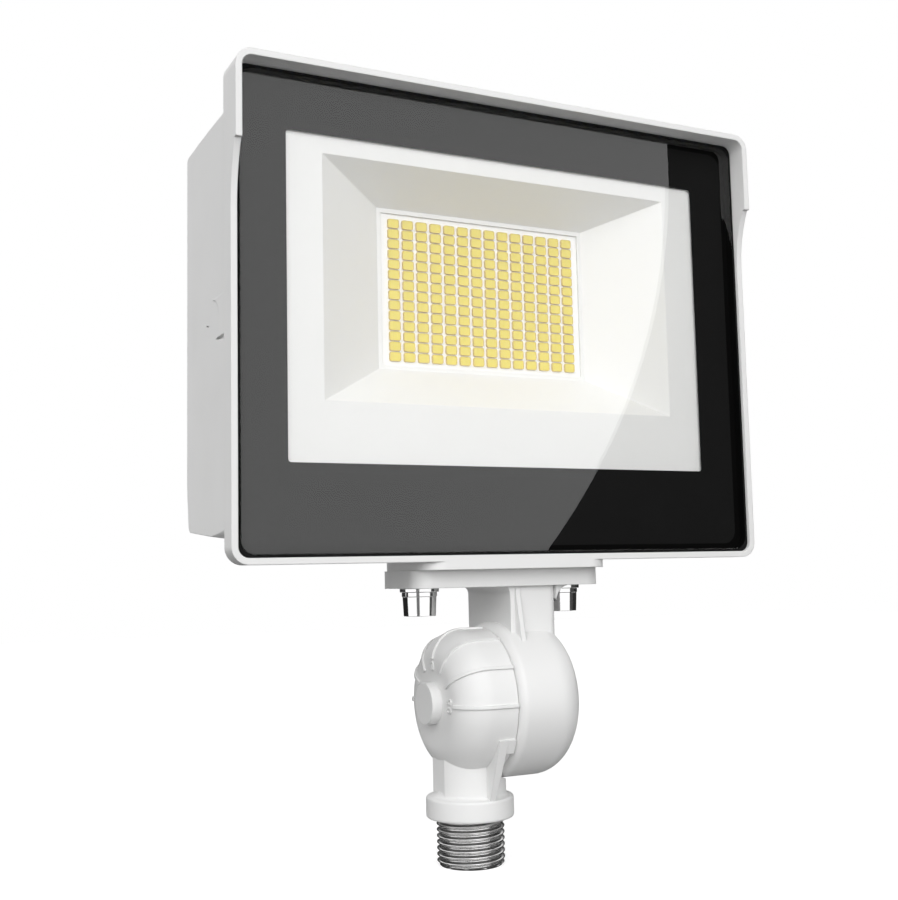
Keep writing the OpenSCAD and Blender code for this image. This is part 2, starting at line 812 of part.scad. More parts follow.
module wire_grommet() color("dimgray") translate([wire_x, 0, 0]) difference() {
    union() {
        translate([0, 0, gasket_z + 1]) cylinder(r = wire_r - slip, h = grommet_z - gasket_z);
        translate([0, 0, grommet_z]) cylinder(r = grommet_r, h = grommet_t);
    }
    translate([0, 0, gasket_z]) cylinder(r = wire_r - 1.5, h = BIG / 10);
}

module flange_gasket() color("dimgray") translate([wire_x, 0, gasket_z - 1]) difference() {
    cylinder(r = wire_r + 3, h = 1);
    translate([0, 0, -1]) cylinder(r = wire_r + 0.5, h = 3);
}

// The concave fillet between a wall and the flange above it; side is 1 on the right
module flange_fillet(x, r, side) {
    slab(arm_y, arm_back) difference() {
        translate([x - (side > 0 ? 0 : r), flange_z - r]) square([r, r]);
        translate([x + side * r, flange_z - r]) circle(r = r);
    }
}

module knuckle_arm() color("gainsboro") difference() {
    union() {
        in_head() translate([0, 0, flange_z]) linear_extrude(flange_thick)
            soft_box([-flange_w / 2, flange_y], [flange_w / 2, flange_back], flange_corner);
        // Column
        translate([0, 0, pivot_h]) linear_extrude(flange_z + 1 - pivot_h)
            soft_outline([[arm_x, arm_y], [arm_side, arm_y], [arm_side, arm_back],
                [arm_x, arm_back]], [0, arm_edge, arm_edge, 0]);
        flange_fillet(arm_side, fillet_right, 1);
        flange_fillet(arm_x, fillet_left, -1);
        // Side plate whose front edge runs forward onto the disc
        strip(arm_x + 1.6, arm_x + 1.6 + arm_plate)
            polygon([[arm_y, flange_z + 1], [-15.5, pivot_h + 17.5], [-10, pivot_h],
                [10, pivot_h], [arm_back, flange_z + 1]]);
        turned() polygon_disc();
    }
    // Wire channel from the flange down into the disc's hollow
    translate([wire_x, 0, pivot_h + hub_r + 2]) cylinder(r = wire_r, h = BIG / 5);
    translate([wire_x, 0, gasket_z - 1]) cylinder(r = wire_r + 3.05, h = 2);
    in_head() for (x = [-bolt_x, bolt_x])
        translate([x, 0, flange_z - 1]) cylinder(r = bolt_r + 0.3, h = flange_thick + 2);
    // Spot faces for the washers, cut into the fillets
    in_head() for (x = [-bolt_x, bolt_x])
        translate([x, 0, flange_z - 2 * washer_r]) cylinder(r = washer_r + 0.3, h = 2 * washer_r);
    // Hollow round the hub
    difference() {
        pin(disc_x - 1, disc_x + disc_floor, disc_hollow);
        pin(disc_x - 2, disc_x + disc_floor + 1, hub_r);
    }
    pin(disc_x - 1, disc_end + 1, pivot_r + pivot_fit);
    pin(disc_end - sink_deep, disc_end + 1, sink_r);
}

// Half profile of the arm's disc as [radius, x]
module polygon_disc() {
    soft_outline([[0, disc_x], [disc_r, disc_x], [disc_r, disc_end], [0, disc_end]],
        [0, disc_near, disc_far, 0]);
}

module flange_bolts() color("silver") in_head()
    for (x = [-bolt_x, bolt_x]) translate([x, 0, flange_z - washer_thick - spring_thick]) difference() {
        union() {
            cylinder(r = bolt_r, h = washer_thick + spring_thick + flange_thick + bolt_hold);
            translate([0, 0, -head_long])
                rotate_extrude() polygon([[0, 0], [head_tip_r, 0], [head_r, head_taper],
                    [head_r, head_long], [0, head_long]]);
        }
        translate([0, 0, -head_long - 1]) cylinder(r = socket_r, h = head_long / 2 + 1, $fn = 6);
    }

// A split ring round the bolt
module spring_washers() color("silver") in_head()
    for (x = [-bolt_x, bolt_x]) translate([x, 0, flange_z - washer_thick - spring_thick]) difference() {
        cylinder(r = spring_r, h = spring_thick);
        translate([0, 0, -1]) cylinder(r = bolt_r + 0.2, h = spring_thick + 2);
        rotate([0, 0, 200]) translate([0, -spring_cut / 2, -1])
            cube([spring_r + 1, spring_cut, spring_thick + 2]);
    }

module flat_washers() color("silver") in_head()
    for (x = [-bolt_x, bolt_x]) translate([x, 0, flange_z - washer_thick]) difference() {
        cylinder(r = washer_r, h = washer_thick);
        translate([0, 0, -1]) cylinder(r = bolt_r + 0.2, h = washer_thick + 2);
    }

module pivot_bolt() color("silver") difference() {
    union() {
        pin(boss_x + boss_end + 1, seat_x + pivot_washer_t, pivot_r);
        pin(seat_x + pivot_washer_t, seat_x + pivot_washer_t + pivot_head, pivot_r + 2.5);
    }
    translate([seat_x + pivot_washer_t + 1.5, 0, pivot_h]) rotate([0, 90, 0])
        cylinder(r = pivot_r * 0.85, h = pivot_head, $fn = 6);
}

module pivot_washer() color("silver") difference() {
    pin(seat_x, seat_x + pivot_washer_t, sink_r - 0.4);
    pin(seat_x - 1, seat_x + pivot_washer_t + 1, pivot_r + 0.2);
}

module knuckle_o_ring() color("black") turned()
    translate([groove_r, face_x - groove_deep + ring_r + 0.02]) circle(r = ring_r, $fn = SMALL_FN);

// Half profile of the lower half as [radius, x], grown by an amount
module polygon_dome(grow) {
    soft_outline([[0, dome_x - grow], [dome_r + grow, dome_x - grow], [dome_r + grow, face_x],
        [0, face_x]], [0, dome_round + grow, 0, 0]);
}

// One figure nought as a raised ring
module nought() {
    difference() {
        soft_box([-0.9, -1.4], [0.9, 1.4], 0.85);
        soft_box([-0.4, -0.9], [0.4, 0.9], 0.35);
    }
}

// One figure nine: a small ring on a stem
module nine() {
    difference() {
        translate([0, 0.5]) circle(r = 0.9, $fn = SMALL_FN);
        translate([0, 0.5]) circle(r = 0.4, $fn = SMALL_FN);
    }
    translate([0.4, -1.4]) square([0.5, 1.9]);
}

// Raises a mark on the lower half's end face, at an angle from the top
module mark_at(angle) {
    translate([dome_x + 1.5, 0, pivot_h]) rotate([angle, 0, 0]) translate([0, 0, mark_r])
        rotate([90, 0, -90]) linear_extrude(1.5 + mark_high) children();
}

module scale_marks() {
    for (angle = [-90 : rib_step : 90]) {
        marked = angle % 90 == 0;
        intersection() {
            turned() polygon_dome(rib_high);
            translate([dome_x - 5, 0, pivot_h]) rotate([angle, 0, 0])
                translate([0, -rib_w / 2, marked ? scale_in_marked : scale_in])
                    cube([dome_thick + 5, rib_w, BIG / 10]);
        }
    }
    mark_at(0) nought();
    for (angle = [-90, 90]) mark_at(angle) {
        translate([-1.25, 0]) nine();
        translate([1.25, 0]) nought();
    }
}

// Front or rear gusset between stem and lower half
module gusset() {
    intersection() {
        strip(gusset_left, gusset_right)
            polygon([[-gusset_out, pivot_h - gusset_top], [-collar_r + 0.6, collar_h - 1],
                [0, collar_h - 1], [0, pivot_h - gusset_top]]);
        // Narrower towards the foot
        slab(-BIG, 0) polygon([[gusset_left - 1, collar_h - 2], [gusset_foot, collar_h - 2],
            [gusset_foot, collar_h], [gusset_right, pivot_h - gusset_top],
            [gusset_left - 1, pivot_h - gusset_top + 1]]);
    }
    strip(gusset_right - 0.5, face_x)
        polygon([[-gusset_out, pivot_h - gusset_top],
            [-gusset_out + gusset_slant, pivot_h - gusset_top - gusset_block],
            [0, pivot_h - gusset_top - gusset_block], [0, pivot_h - gusset_top]]);
}

module knuckle_base() color("gainsboro") difference() {
    union() {
        turned() polygon_dome(0);
        pin(boss_x, dome_x + 3, boss_r);
        // Stem with two flats, cut away under the turning disc
        difference() {
            intersection() {
                cylinder(r = stem_r, h = pivot_h - dome_r + dome_round + 1);
                translate([-stem_flat, -BIG / 2, 0]) cube([2 * stem_flat, BIG, BIG]);
            }
            pin(face_x, disc_end, disc_r + stem_gap);
        }
        rotate_extrude() soft_outline([[0, 0], [collar_r, 0], [collar_r, collar_h], [0, collar_h]],
            [0, 0.8, 0.8, 0]);
        // Fillet at the foot of the stem
        rotate_extrude() difference() {
            translate([stem_r - 1, collar_h - 0.5]) square([foot_round + 0.5, foot_round + 0.5]);
            translate([stem_r + 1.5, collar_h + foot_round]) circle(r = foot_round, $fn = SMALL_FN);
        }
        scale_marks();
        for (s = [0, 1]) mirror([0, s, 0]) gusset();
    }
    // Hollow round the hub, open towards the arm
    difference() {
        pin(face_x - dome_floor, face_x + 1, dome_hollow);
        pin(face_x - dome_floor - 1, face_x + 2, hub_r);
    }
    // Groove for the ring
    difference() {
        pin(face_x - groove_deep, face_x + 1, groove_r + groove_w / 2);
        pin(face_x - groove_deep - 1, face_x + 2, groove_r - groove_w / 2);
    }
    pin(boss_x + boss_end, face_x + 1, pivot_r + thread_gap);
    translate([0, 0, -1]) cylinder(r = stem_bore, h = pivot_h - hub_r);
    translate([0, 0, -1]) cylinder(r = spigot_r + thread_gap, h = socket_z + 1);
}

module threaded_nipple() color("slategray") difference() {
    union() {
        rotate_extrude() polygon(concat([[0, 0], [thread_r, 0], [thread_r, -land]],
            [for (i = [0 : turns - 1], k = [0 : 3])
                [k == 1 || k == 0 ? thread_root : thread_r,
                    -land - i * thread_pitch - [flank, flank + 0.2, flank * 2 + 0.2, thread_pitch][k]]],
            [[thread_r - tip_chamfer, -thread_long], [0, -thread_long]]));
        translate([0, 0, -1]) cylinder(r = spigot_r, h = socket_z + 1 - 0.1);
    }
    translate([0, 0, -thread_long - 1]) cylinder(r = nipple_bore, h = thread_long + socket_z + 2);
}

rear_housing();
cooling_fins();
front_frame();
lens_glass();
lens_border();
lens_seal();
frame_gasket();
frame_screws();
reflector();
reflector_screws();
led_board();
led_chips();
board_screws();
heat_pad();
driver_case();
driver_cover();
driver_board();
driver_coils();
driver_potting();
driver_screws();
led_leads();
wire_grommet();
flange_gasket();
knuckle_arm();
flange_bolts();
spring_washers();
flat_washers();
pivot_bolt();
pivot_washer();
knuckle_o_ring();
knuckle_base();
threaded_nipple();
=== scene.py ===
import math

import bmesh
import bpy
from mathutils import Matrix, Vector


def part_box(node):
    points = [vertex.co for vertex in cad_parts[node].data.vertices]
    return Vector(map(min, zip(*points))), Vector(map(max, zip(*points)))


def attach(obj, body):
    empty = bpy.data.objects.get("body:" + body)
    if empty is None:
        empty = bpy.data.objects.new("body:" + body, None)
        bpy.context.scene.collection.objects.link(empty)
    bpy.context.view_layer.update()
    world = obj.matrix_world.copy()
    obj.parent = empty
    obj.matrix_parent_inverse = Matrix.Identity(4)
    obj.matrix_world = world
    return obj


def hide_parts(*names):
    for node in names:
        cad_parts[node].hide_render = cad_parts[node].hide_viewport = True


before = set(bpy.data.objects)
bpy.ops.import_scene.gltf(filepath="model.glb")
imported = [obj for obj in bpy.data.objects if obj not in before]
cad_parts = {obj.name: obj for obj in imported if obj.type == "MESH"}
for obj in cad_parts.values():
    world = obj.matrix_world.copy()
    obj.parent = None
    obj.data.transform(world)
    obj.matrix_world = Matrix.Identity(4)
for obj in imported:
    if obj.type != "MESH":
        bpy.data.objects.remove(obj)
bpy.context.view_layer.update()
MM = 0.001

# Rear housing: die-cast aluminium with a fine white powder coat.
# One casting with the light board's plate, the driver's bay, the upright fins and the side pads.
COAT_WHITE = (0.84, 0.84, 0.835, 1)


def add_node(tree, kind, values=None, **attributes):
    """Adds a node, sets its attributes, and fills or links its inputs by name or number."""
    made = tree.nodes.new(kind)
    for name, value in attributes.items():
        setattr(made, name, value)
    for key, value in (values or {}).items():
        if isinstance(value, bpy.types.NodeSocket):
            tree.links.new(value, made.inputs[key])
        else:
            made.inputs[key].default_value = value
    return made


def surface_group(name, numbers, outputs):
    """An empty shader group with number inputs and named outputs, and its two end nodes."""
    tree = bpy.data.node_groups.new(name, "ShaderNodeTree")
    for label, start in numbers.items():
        tree.interface.new_socket(label, in_out="INPUT", socket_type="NodeSocketFloat").default_value = start
    for label, kind in outputs.items():
        tree.interface.new_socket(label, in_out="OUTPUT", socket_type="NodeSocket" + kind)
    return tree, tree.nodes.new("NodeGroupInput"), tree.nodes.new("NodeGroupOutput")


def make_finish_group():
    """Even fine grain and broad soft mottling, for coats, mouldings and rolled sheet."""
    tree, given, out = surface_group(
        "fine_finish", {"Grain": 1500.0, "Mottle": 40.0, "Stretch": 1.0},
        {"Height": "Float", "Mottling": "Float"})
    at = add_node(tree, "ShaderNodeTexCoord").outputs["Object"]
    squeeze = add_node(tree, "ShaderNodeCombineXYZ", {"X": 1.0, "Y": 1.0, "Z": given.outputs["Stretch"]})
    place = add_node(tree, "ShaderNodeVectorMath", {0: at, 1: squeeze.outputs[0]}, operation="MULTIPLY")
    grain = add_node(tree, "ShaderNodeTexNoise", {
        "Vector": place.outputs[0], "Scale": given.outputs["Grain"], "Detail": 3.0, "Roughness": 0.55})
    broad = add_node(tree, "ShaderNodeTexNoise", {
        "Vector": place.outputs[0], "Scale": given.outputs["Mottle"], "Detail": 2.0, "Roughness": 0.5})
    tree.links.new(grain.outputs[0], out.inputs["Height"])
    tree.links.new(broad.outputs[0], out.inputs["Mottling"])
    return tree


finish_group = make_finish_group()


def make_material(name, colour, second, rough, rough_swing=0.06, grain=1500.0, mottle=40.0,
                  stretch=1.0, bump=0.1, depth=0.02, edge=0.0, **plain):
    """A Principled surface whose colour and roughness vary a little, with a fine bump and soft edges."""
    mat = bpy.data.materials.new(name)
    mat.use_nodes = True
    tree = mat.node_tree
    shader = tree.nodes["Principled BSDF"]
    for label, value in plain.items():
        shader.inputs[label.replace("_", " ")].default_value = value
    finish = add_node(tree, "ShaderNodeGroup", node_tree=finish_group)
    finish.inputs["Grain"].default_value = grain
    finish.inputs["Mottle"].default_value = mottle
    finish.inputs["Stretch"].default_value = stretch
    tint = add_node(tree, "ShaderNodeMix", {
        "Factor": finish.outputs["Mottling"], 6: colour, 7: second}, data_type="RGBA")
    tree.links.new(tint.outputs[2], shader.inputs["Base Color"])
    spread = add_node(tree, "ShaderNodeMapRange", {
        "Value": finish.outputs["Mottling"], "To Min": rough - rough_swing, "To Max": rough + rough_swing})
    tree.links.new(spread.outputs[0], shader.inputs["Roughness"])
    relief = add_node(tree, "ShaderNodeBump", {
        "Height": finish.outputs["Height"], "Strength": bump, "Distance": depth * MM})
    if edge:
        softened = add_node(tree, "ShaderNodeBevel", {"Radius": edge * MM}, samples=6)
        tree.links.new(softened.outputs[0], relief.inputs["Normal"])
    tree.links.new(relief.outputs[0], shader.inputs["Normal"])
    return mat


white_coat = make_material(
    "white_powder_coat", COAT_WHITE, (0.815, 0.815, 0.81, 1), rough=0.42, grain=2200.0,
    mottle=60.0, bump=0.25, depth=0.02, edge=0.45, Specular_IOR_Level=0.45)


def finished(node, material):
    """Gives a CAD node that shows as it is its material."""
    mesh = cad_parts[node].data
    mesh.materials.clear()
    mesh.materials.append(material)


for node in ("rear_housing", "cooling_fins"):
    finished(node, white_coat)

# Front frame: die-cast in one piece with the visor and the front tab, and coated as the housing.
# Four screws from behind draw it onto the housing.
finished("front_frame", white_coat)

# Frame screws: zinc-plated steel pan heads with a cross recess, from behind through the lugs.
# The screws of the reflector, the light board and the driver have the same plating.
steel = make_material(
    "zinc_plated_steel", (0.62, 0.62, 0.61, 1), (0.52, 0.52, 0.5, 1), rough=0.32, grain=900.0,
    mottle=250.0, bump=0.15, depth=0.02, Metallic=1.0)
HEAD_T = 2.4
HEAD_R = 3.4
SHANK_R = 1.95


def node_tree(name, sizes):
    """A Geometry Nodes tree with named length inputs, and its two end nodes."""
    tree = bpy.data.node_groups.new(name, "GeometryNodeTree")
    tree.interface.new_socket("Geometry", in_out="INPUT", socket_type="NodeSocketGeometry")
    for label, start in sizes.items():
        kind = "NodeSocketInt" if isinstance(start, int) else "NodeSocketFloat"
        tree.interface.new_socket(label, in_out="INPUT", socket_type=kind).default_value = start
    tree.interface.new_socket("Geometry", in_out="OUTPUT", socket_type="NodeSocketGeometry")
    return tree, tree.nodes.new("NodeGroupInput"), tree.nodes.new("NodeGroupOutput")


def math_of(tree, operation, first, second=0.0):
    """The output of a Math node."""
    return add_node(tree, "ShaderNodeMath", {0: first, 1: second}, operation=operation).outputs[0]


def bake(piece, name):
    """The piece with its modifiers turned into a plain mesh."""
    view = bpy.context.evaluated_depsgraph_get()
    plain = bpy.data.meshes.new_from_object(piece.evaluated_get(view))
    plain.name = name
    piece.modifiers.clear()
    piece.data = plain
    return plain


def grown(name, points, tree, sizes):
    """A plain mesh grown by a node tree on the given points, with the tree's inputs filled."""
    mesh = bpy.data.meshes.new(name)
    mesh.from_pydata([[v * MM for v in point] for point in points], [], [])
    piece = bpy.data.objects.new(name, mesh)
    bpy.context.scene.collection.objects.link(piece)
    modifier = piece.modifiers.new("grow", "NODES")
    modifier.node_group = tree
    for item in tree.interface.items_tree:
        if item.in_out == "INPUT" and item.name in sizes:
            modifier[item.identifier] = sizes[item.name]
    return piece, bake(piece, name)


def sharp_edges(tree, geometry, angle):
    """Smooth faces, with the edges steeper than the angle kept sharp."""
    smooth = add_node(tree, "GeometryNodeSetShadeSmooth", {"Geometry": geometry})
    steep = math_of(tree, "GREATER_THAN", add_node(tree, "GeometryNodeInputMeshEdgeAngle").outputs[0], angle)
    crease = add_node(tree, "GeometryNodeSetShadeSmooth", {
        "Geometry": smooth.outputs[0], "Selection": steep, "Shade Smooth": False}, domain="EDGE")
    return crease.outputs[0]


def make_screw_tree():
    """Pan-head screws with a cross recess, one on each point, their heads towards +Y."""
    tree, given, out = node_tree("cross_screws", {
        "Head Radius": HEAD_R * MM, "Head Height": HEAD_T * MM, "Shank Radius": SHANK_R * MM,
        "Shank Length": 9.0 * MM})
    head_r, head_h = given.outputs["Head Radius"], given.outputs["Head Height"]
    head = add_node(tree, "GeometryNodeMeshCylinder", {
        "Vertices": 32, "Side Segments": 1, "Fill Segments": 5, "Radius": head_r, "Depth": head_h})
    up = add_node(tree, "GeometryNodeTransform", {
        "Geometry": head.outputs["Mesh"],
        "Translation": add_node(tree, "ShaderNodeCombineXYZ", {
            "Z": math_of(tree, "MULTIPLY", head_h, 0.5)}).outputs[0]})
    at = add_node(tree, "GeometryNodeInputPosition").outputs[0]
    apart = add_node(tree, "ShaderNodeSeparateXYZ", {0: at})
    flat = add_node(tree, "ShaderNodeCombineXYZ", {"X": apart.outputs["X"], "Y": apart.outputs["Y"]})
    radius = add_node(tree, "ShaderNodeVectorMath", {0: flat.outputs[0]}, operation="LENGTH")
    share = math_of(tree, "DIVIDE", radius.outputs["Value"], head_r)
    full_drop = math_of(tree, "MULTIPLY", head_h, -0.45)
    drop = math_of(tree, "MULTIPLY", math_of(tree, "POWER", share, 3.0), full_drop)
    half_way = math_of(tree, "MULTIPLY", head_h, 0.5)
    domed = add_node(tree, "GeometryNodeSetPosition", {
        "Geometry": up.outputs[0],
        "Selection": math_of(tree, "GREATER_THAN", apart.outputs["Z"], half_way),
        "Offset": add_node(tree, "ShaderNodeCombineXYZ", {"Z": drop}).outputs[0]})
    slots = add_node(tree, "GeometryNodeJoinGeometry")
    for turn in (0.0, math.pi / 2):
        blade = add_node(tree, "GeometryNodeMeshCube", {
            "Size": add_node(tree, "ShaderNodeCombineXYZ", {
                "X": math_of(tree, "MULTIPLY", head_r, 1.1), "Y": math_of(tree, "MULTIPLY", head_r, 0.22),
                "Z": head_h}).outputs[0]})
        placed = add_node(tree, "GeometryNodeTransform", {
            "Geometry": blade.outputs["Mesh"],
            "Translation": add_node(tree, "ShaderNodeCombineXYZ", {"Z": head_h}).outputs[0],
            "Rotation": (0.0, 0.0, turn)})
        tree.links.new(placed.outputs[0], slots.inputs[0])
    cut = add_node(tree, "GeometryNodeMeshBoolean", {
        "Mesh 1": domed.outputs[0]}, operation="DIFFERENCE", solver="EXACT")
    tree.links.new(slots.outputs[0], cut.inputs["Mesh 2"])
    # The cut leaves nothing of the head, so that only the shanks show; the solids have their heads
    shank = add_node(tree, "GeometryNodeMeshCylinder", {
        "Vertices": 24, "Radius": given.outputs["Shank Radius"], "Depth": given.outputs["Shank Length"]})
    low = add_node(tree, "GeometryNodeTransform", {
        "Geometry": shank.outputs["Mesh"],
        "Translation": add_node(tree, "ShaderNodeCombineXYZ", {
            "Z": math_of(tree, "MULTIPLY", given.outputs["Shank Length"], -0.5)}).outputs[0]})
    whole = add_node(tree, "GeometryNodeJoinGeometry")
    tree.links.new(low.outputs[0], whole.inputs[0])
    tree.links.new(cut.outputs[0], whole.inputs[0])
    each = add_node(tree, "GeometryNodeInstanceOnPoints", {
        "Points": given.outputs["Geometry"], "Instance": sharp_edges(tree, whole.outputs[0], 0.6),
        "Rotation": (-math.pi / 2, 0.0, 0.0)})
    real = add_node(tree, "GeometryNodeRealizeInstances", {"Geometry": each.outputs[0]})
    finish = add_node(tree, "GeometryNodeSetMaterial", {"Geometry": real.outputs[0], "Material": steel})
    tree.links.new(finish.outputs[0], out.inputs[0])
    return tree


screw_tree = make_screw_tree()


def screw_set(node, name, places, head_r, head_t, shank_r, length):
    """Cross-recess screws at the places under their heads, to stand for a node of screws."""
    piece, _ = grown(name, places, screw_tree, {
        "Head Radius": head_r * MM, "Head Height": head_t * MM, "Shank Radius": shank_r * MM,
        "Shank Length": length * MM})
    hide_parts(node)
    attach(piece, "head")


def places_of(node, seat):
    """The middle of each separate solid of a node, seen along Y, at the depth of their seat."""
    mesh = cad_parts[node].data
    shape = bmesh.new()
    shape.from_mesh(mesh)
    bmesh.ops.remove_doubles(shape, verts=shape.verts, dist=1e-6)
    left = set(shape.verts)
    found = []
    while left:
        batch, waiting = [], [left.pop()]
        while waiting:
            here = waiting.pop()
            batch.append(here.co.copy())
            for line in here.link_edges:
                there = line.other_vert(here)
                if there in left:
                    left.remove(there)
                    waiting.append(there)
        x = [co.x for co in batch]
        z = [co.z for co in batch]
        found.append(((min(x) + max(x)) / 2 / MM, seat, (min(z) + max(z)) / 2 / MM))
    shape.free()
    return sorted(found)


frame_screw_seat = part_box("frame_screws")[1][1] / MM - HEAD_T
frame_screw_length = frame_screw_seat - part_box("frame_screws")[0][1] / MM
screw_set("frame_screws", "cross_frame_screws", places_of("frame_screws", frame_screw_seat),
          HEAD_R, HEAD_T, SHANK_R, frame_screw_length)

# Glass: clear tempered glass with bevelled edges, bedded in a silicone bead.
# The black border is fired onto its back, so glass and print are one piece.
GLASS_LOW, GLASS_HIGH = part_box("lens_glass")
PRINT_LOW, PRINT_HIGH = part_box("lens_border")
BEVEL = 0.3 * MM
GLASS_CORNER = 4.5 * MM
WINDOW = (-62.9 * MM, 106.2 * MM, 81.9 * MM, 203.0 * MM)
WINDOW_CORNER = 1.0 * MM
PRINT_GAP = 0.02 * MM


def make_glass():
    """Clear glass that doesn't bend the light: a see-through surface with a mirror sheen by angle."""
    mat = bpy.data.materials.new("clear_glass")
    mat.use_nodes = True
    tree = mat.node_tree
    tree.nodes.clear()
    side = add_node(tree, "ShaderNodeNewGeometry").outputs["Backfacing"]
    bend = add_node(tree, "ShaderNodeMapRange", {"Value": side, "To Min": 1.5, "To Max": 1 / 1.5})
    sheen = add_node(tree, "ShaderNodeFresnel", {"IOR": bend.outputs[0]})
    clear = add_node(tree, "ShaderNodeBsdfTransparent", {"Color": (0.995, 0.996, 0.995, 1)})
    gloss = add_node(tree, "ShaderNodeBsdfGlossy", {"Color": (1, 1, 1, 1), "Roughness": 0.0})
    both = add_node(tree, "ShaderNodeMixShader", {
        0: sheen.outputs[0], 1: clear.outputs[0], 2: gloss.outputs[0]})
    end = add_node(tree, "ShaderNodeOutputMaterial")
    tree.links.new(both.outputs[0], end.inputs["Surface"])
    return mat


clear_glass = make_glass()
black_print = make_material(
    "black_print", (0.0095, 0.0095, 0.0095, 1), (0.0115, 0.0115, 0.0115, 1), rough=0.5, grain=3000.0,
    mottle=80.0, bump=0.05, depth=0.01, Specular_IOR_Level=0.0)
# Near-black paint for the glass's edge and margin: painted shade for the dark gap behind them, darker than
# the silicone itself
shade_black_edge = make_material(
    "shade_black_edge", (0.002, 0.002, 0.002, 1), (0.003, 0.003, 0.003, 1), rough=0.5, grain=3000.0,
    mottle=80.0, bump=0.05, depth=0.01, Specular_IOR_Level=0.0)


def rounded_loop(shape, x0, z0, x1, z1, corner, y, steps=8):
    """Vertices round a rectangle with rounded corners in an X-Z plane."""
    loop = []
    for cx, cz, start in ((x1 - corner, z1 - corner, 0), (x0 + corner, z1 - corner, 90),
                          (x0 + corner, z0 + corner, 180), (x1 - corner, z0 + corner, 270)):
        for k in range(steps + 1):
            turn = math.radians(start + 90 * k / steps)
            loop.append(shape.verts.new((cx + corner * math.cos(turn), y, cz + corner * math.sin(turn))))
    return loop


def bridge(shape, first, second, material):
    """Faces between two loops of equal length."""
    count = len(first)
    for k in range(count):
        face = shape.faces.new((first[k], first[(k + 1) % count], second[(k + 1) % count], second[k]))
        face.material_index = material


def make_glass_plate():
    """The clear plate with its bevelled front edge, and the print on its back round the window."""
    shape = bmesh.new()
    x0, front, z0 = GLASS_LOW
    x1, back, z1 = GLASS_HIGH
    rear = PRINT_HIGH[1]
    plate = (x0, z0, x1, z1)
    face = (x0 + BEVEL, z0 + BEVEL, x1 - BEVEL, z1 - BEVEL)
    printed = (PRINT_LOW[0], PRINT_LOW[2], PRINT_HIGH[0], PRINT_HIGH[2])
    face_loop = rounded_loop(shape, *face, GLASS_CORNER - BEVEL, front)
    side_loop = rounded_loop(shape, *plate, GLASS_CORNER, front + BEVEL)
    back_loop = rounded_loop(shape, *plate, GLASS_CORNER, back)
    print_loop = rounded_loop(shape, *printed, GLASS_CORNER, back)
    rear_loop = rounded_loop(shape, *printed, GLASS_CORNER, rear)
    window_rear = rounded_loop(shape, *WINDOW, WINDOW_CORNER, rear)
    window_loop = rounded_loop(shape, *WINDOW, WINDOW_CORNER, back)
    shape.faces.new(face_loop)
    bridge(shape, face_loop, side_loop, 0)
    # The ground edge and the unprinted margin are painted near black, partly for the black silicone behind
    # them and partly as painted shade for the shaded gap between glass and frame
    bridge(shape, side_loop, back_loop, 2)
    bridge(shape, back_loop, print_loop, 2)
    bridge(shape, print_loop, rear_loop, 1)
    bridge(shape, rear_loop, window_rear, 1)
    bridge(shape, window_rear, window_loop, 1)
    shape.faces.new(window_loop)
    # The print's face against the glass, seen through it
    front_print = rounded_loop(shape, *printed, GLASS_CORNER, back + PRINT_GAP)
    front_window = rounded_loop(shape, *WINDOW, WINDOW_CORNER, back + PRINT_GAP)
    bridge(shape, front_print, front_window, 1)
    bmesh.ops.recalc_face_normals(shape, faces=shape.faces)
    mesh = bpy.data.meshes.new("printed_glass")
    shape.to_mesh(mesh)
    shape.free()
    for material in (clear_glass, black_print, shade_black_edge):
        mesh.materials.append(material)
    return mesh


glass = bpy.data.objects.new("printed_glass", make_glass_plate())
bpy.context.scene.collection.objects.link(glass)
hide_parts("lens_glass", "lens_border")
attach(glass, "head")

# Seals: a bead of black silicone that wells up round the glass's edge to just below its face.
# The frame's cord gasket, the flange's seal, the wire grommet and the O-ring are black silicone too.
black_rubber = make_material(
    "black_silicone", (0.004, 0.004, 0.004, 1), (0.006, 0.006, 0.006, 1), rough=0.7, grain=1200.0,
    mottle=150.0, bump=0.3, depth=0.03, Specular_IOR_Level=0.1)
BEAD_TOP = GLASS_LOW[1] + 0.35 * MM
BEAD_LOW, BEAD_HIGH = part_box("lens_seal")
BEAD_UNDER = 4.0 * MM
FRAME_WALL = 1.93 * MM
WALL_GAP = GLASS_LOW[0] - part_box("front_frame")[0][0] - FRAME_WALL
SEAT_CORNER = 3.1 * MM
HAIR_GAP = 0.01 * MM


def make_bead():
    """A bead with an L-shaped section all round the glass, from its outer top to its inner foot."""
    shape = bmesh.new()
    x0, _, z0 = GLASS_LOW
    x1, _, z1 = GLASS_HIGH
    under = BEAD_LOW[1] + HAIR_GAP
    foot = BEAD_HIGH[1]
    loops = [rounded_loop(shape, x0 - grow, z0 - grow, x1 + grow, z1 + grow, corner, y)
             for grow, corner, y in (
                 (WALL_GAP, SEAT_CORNER, BEAD_TOP),
                 (HAIR_GAP, GLASS_CORNER + HAIR_GAP, BEAD_TOP + 0.1 * MM),
                 (HAIR_GAP, GLASS_CORNER + HAIR_GAP, under),
                 (-BEAD_UNDER, GLASS_CORNER, under),
                 (-BEAD_UNDER, GLASS_CORNER, foot),
                 (WALL_GAP, SEAT_CORNER, foot))]
    for k, loop in enumerate(loops):
        bridge(shape, loop, loops[(k + 1) % len(loops)], 0)
    bmesh.ops.recalc_face_normals(shape, faces=shape.faces)
    mesh = bpy.data.meshes.new("silicone_bead")
    shape.to_mesh(mesh)
    shape.free()
    mesh.materials.append(black_rubber)
    return mesh


bead = bpy.data.objects.new("silicone_bead", make_bead())
bpy.context.scene.collection.objects.link(bead)
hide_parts("lens_seal")
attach(bead, "head")
for node in ("frame_gasket", "flange_gasket", "wire_grommet", "knuckle_o_ring"):
    finished(node, black_rubber)

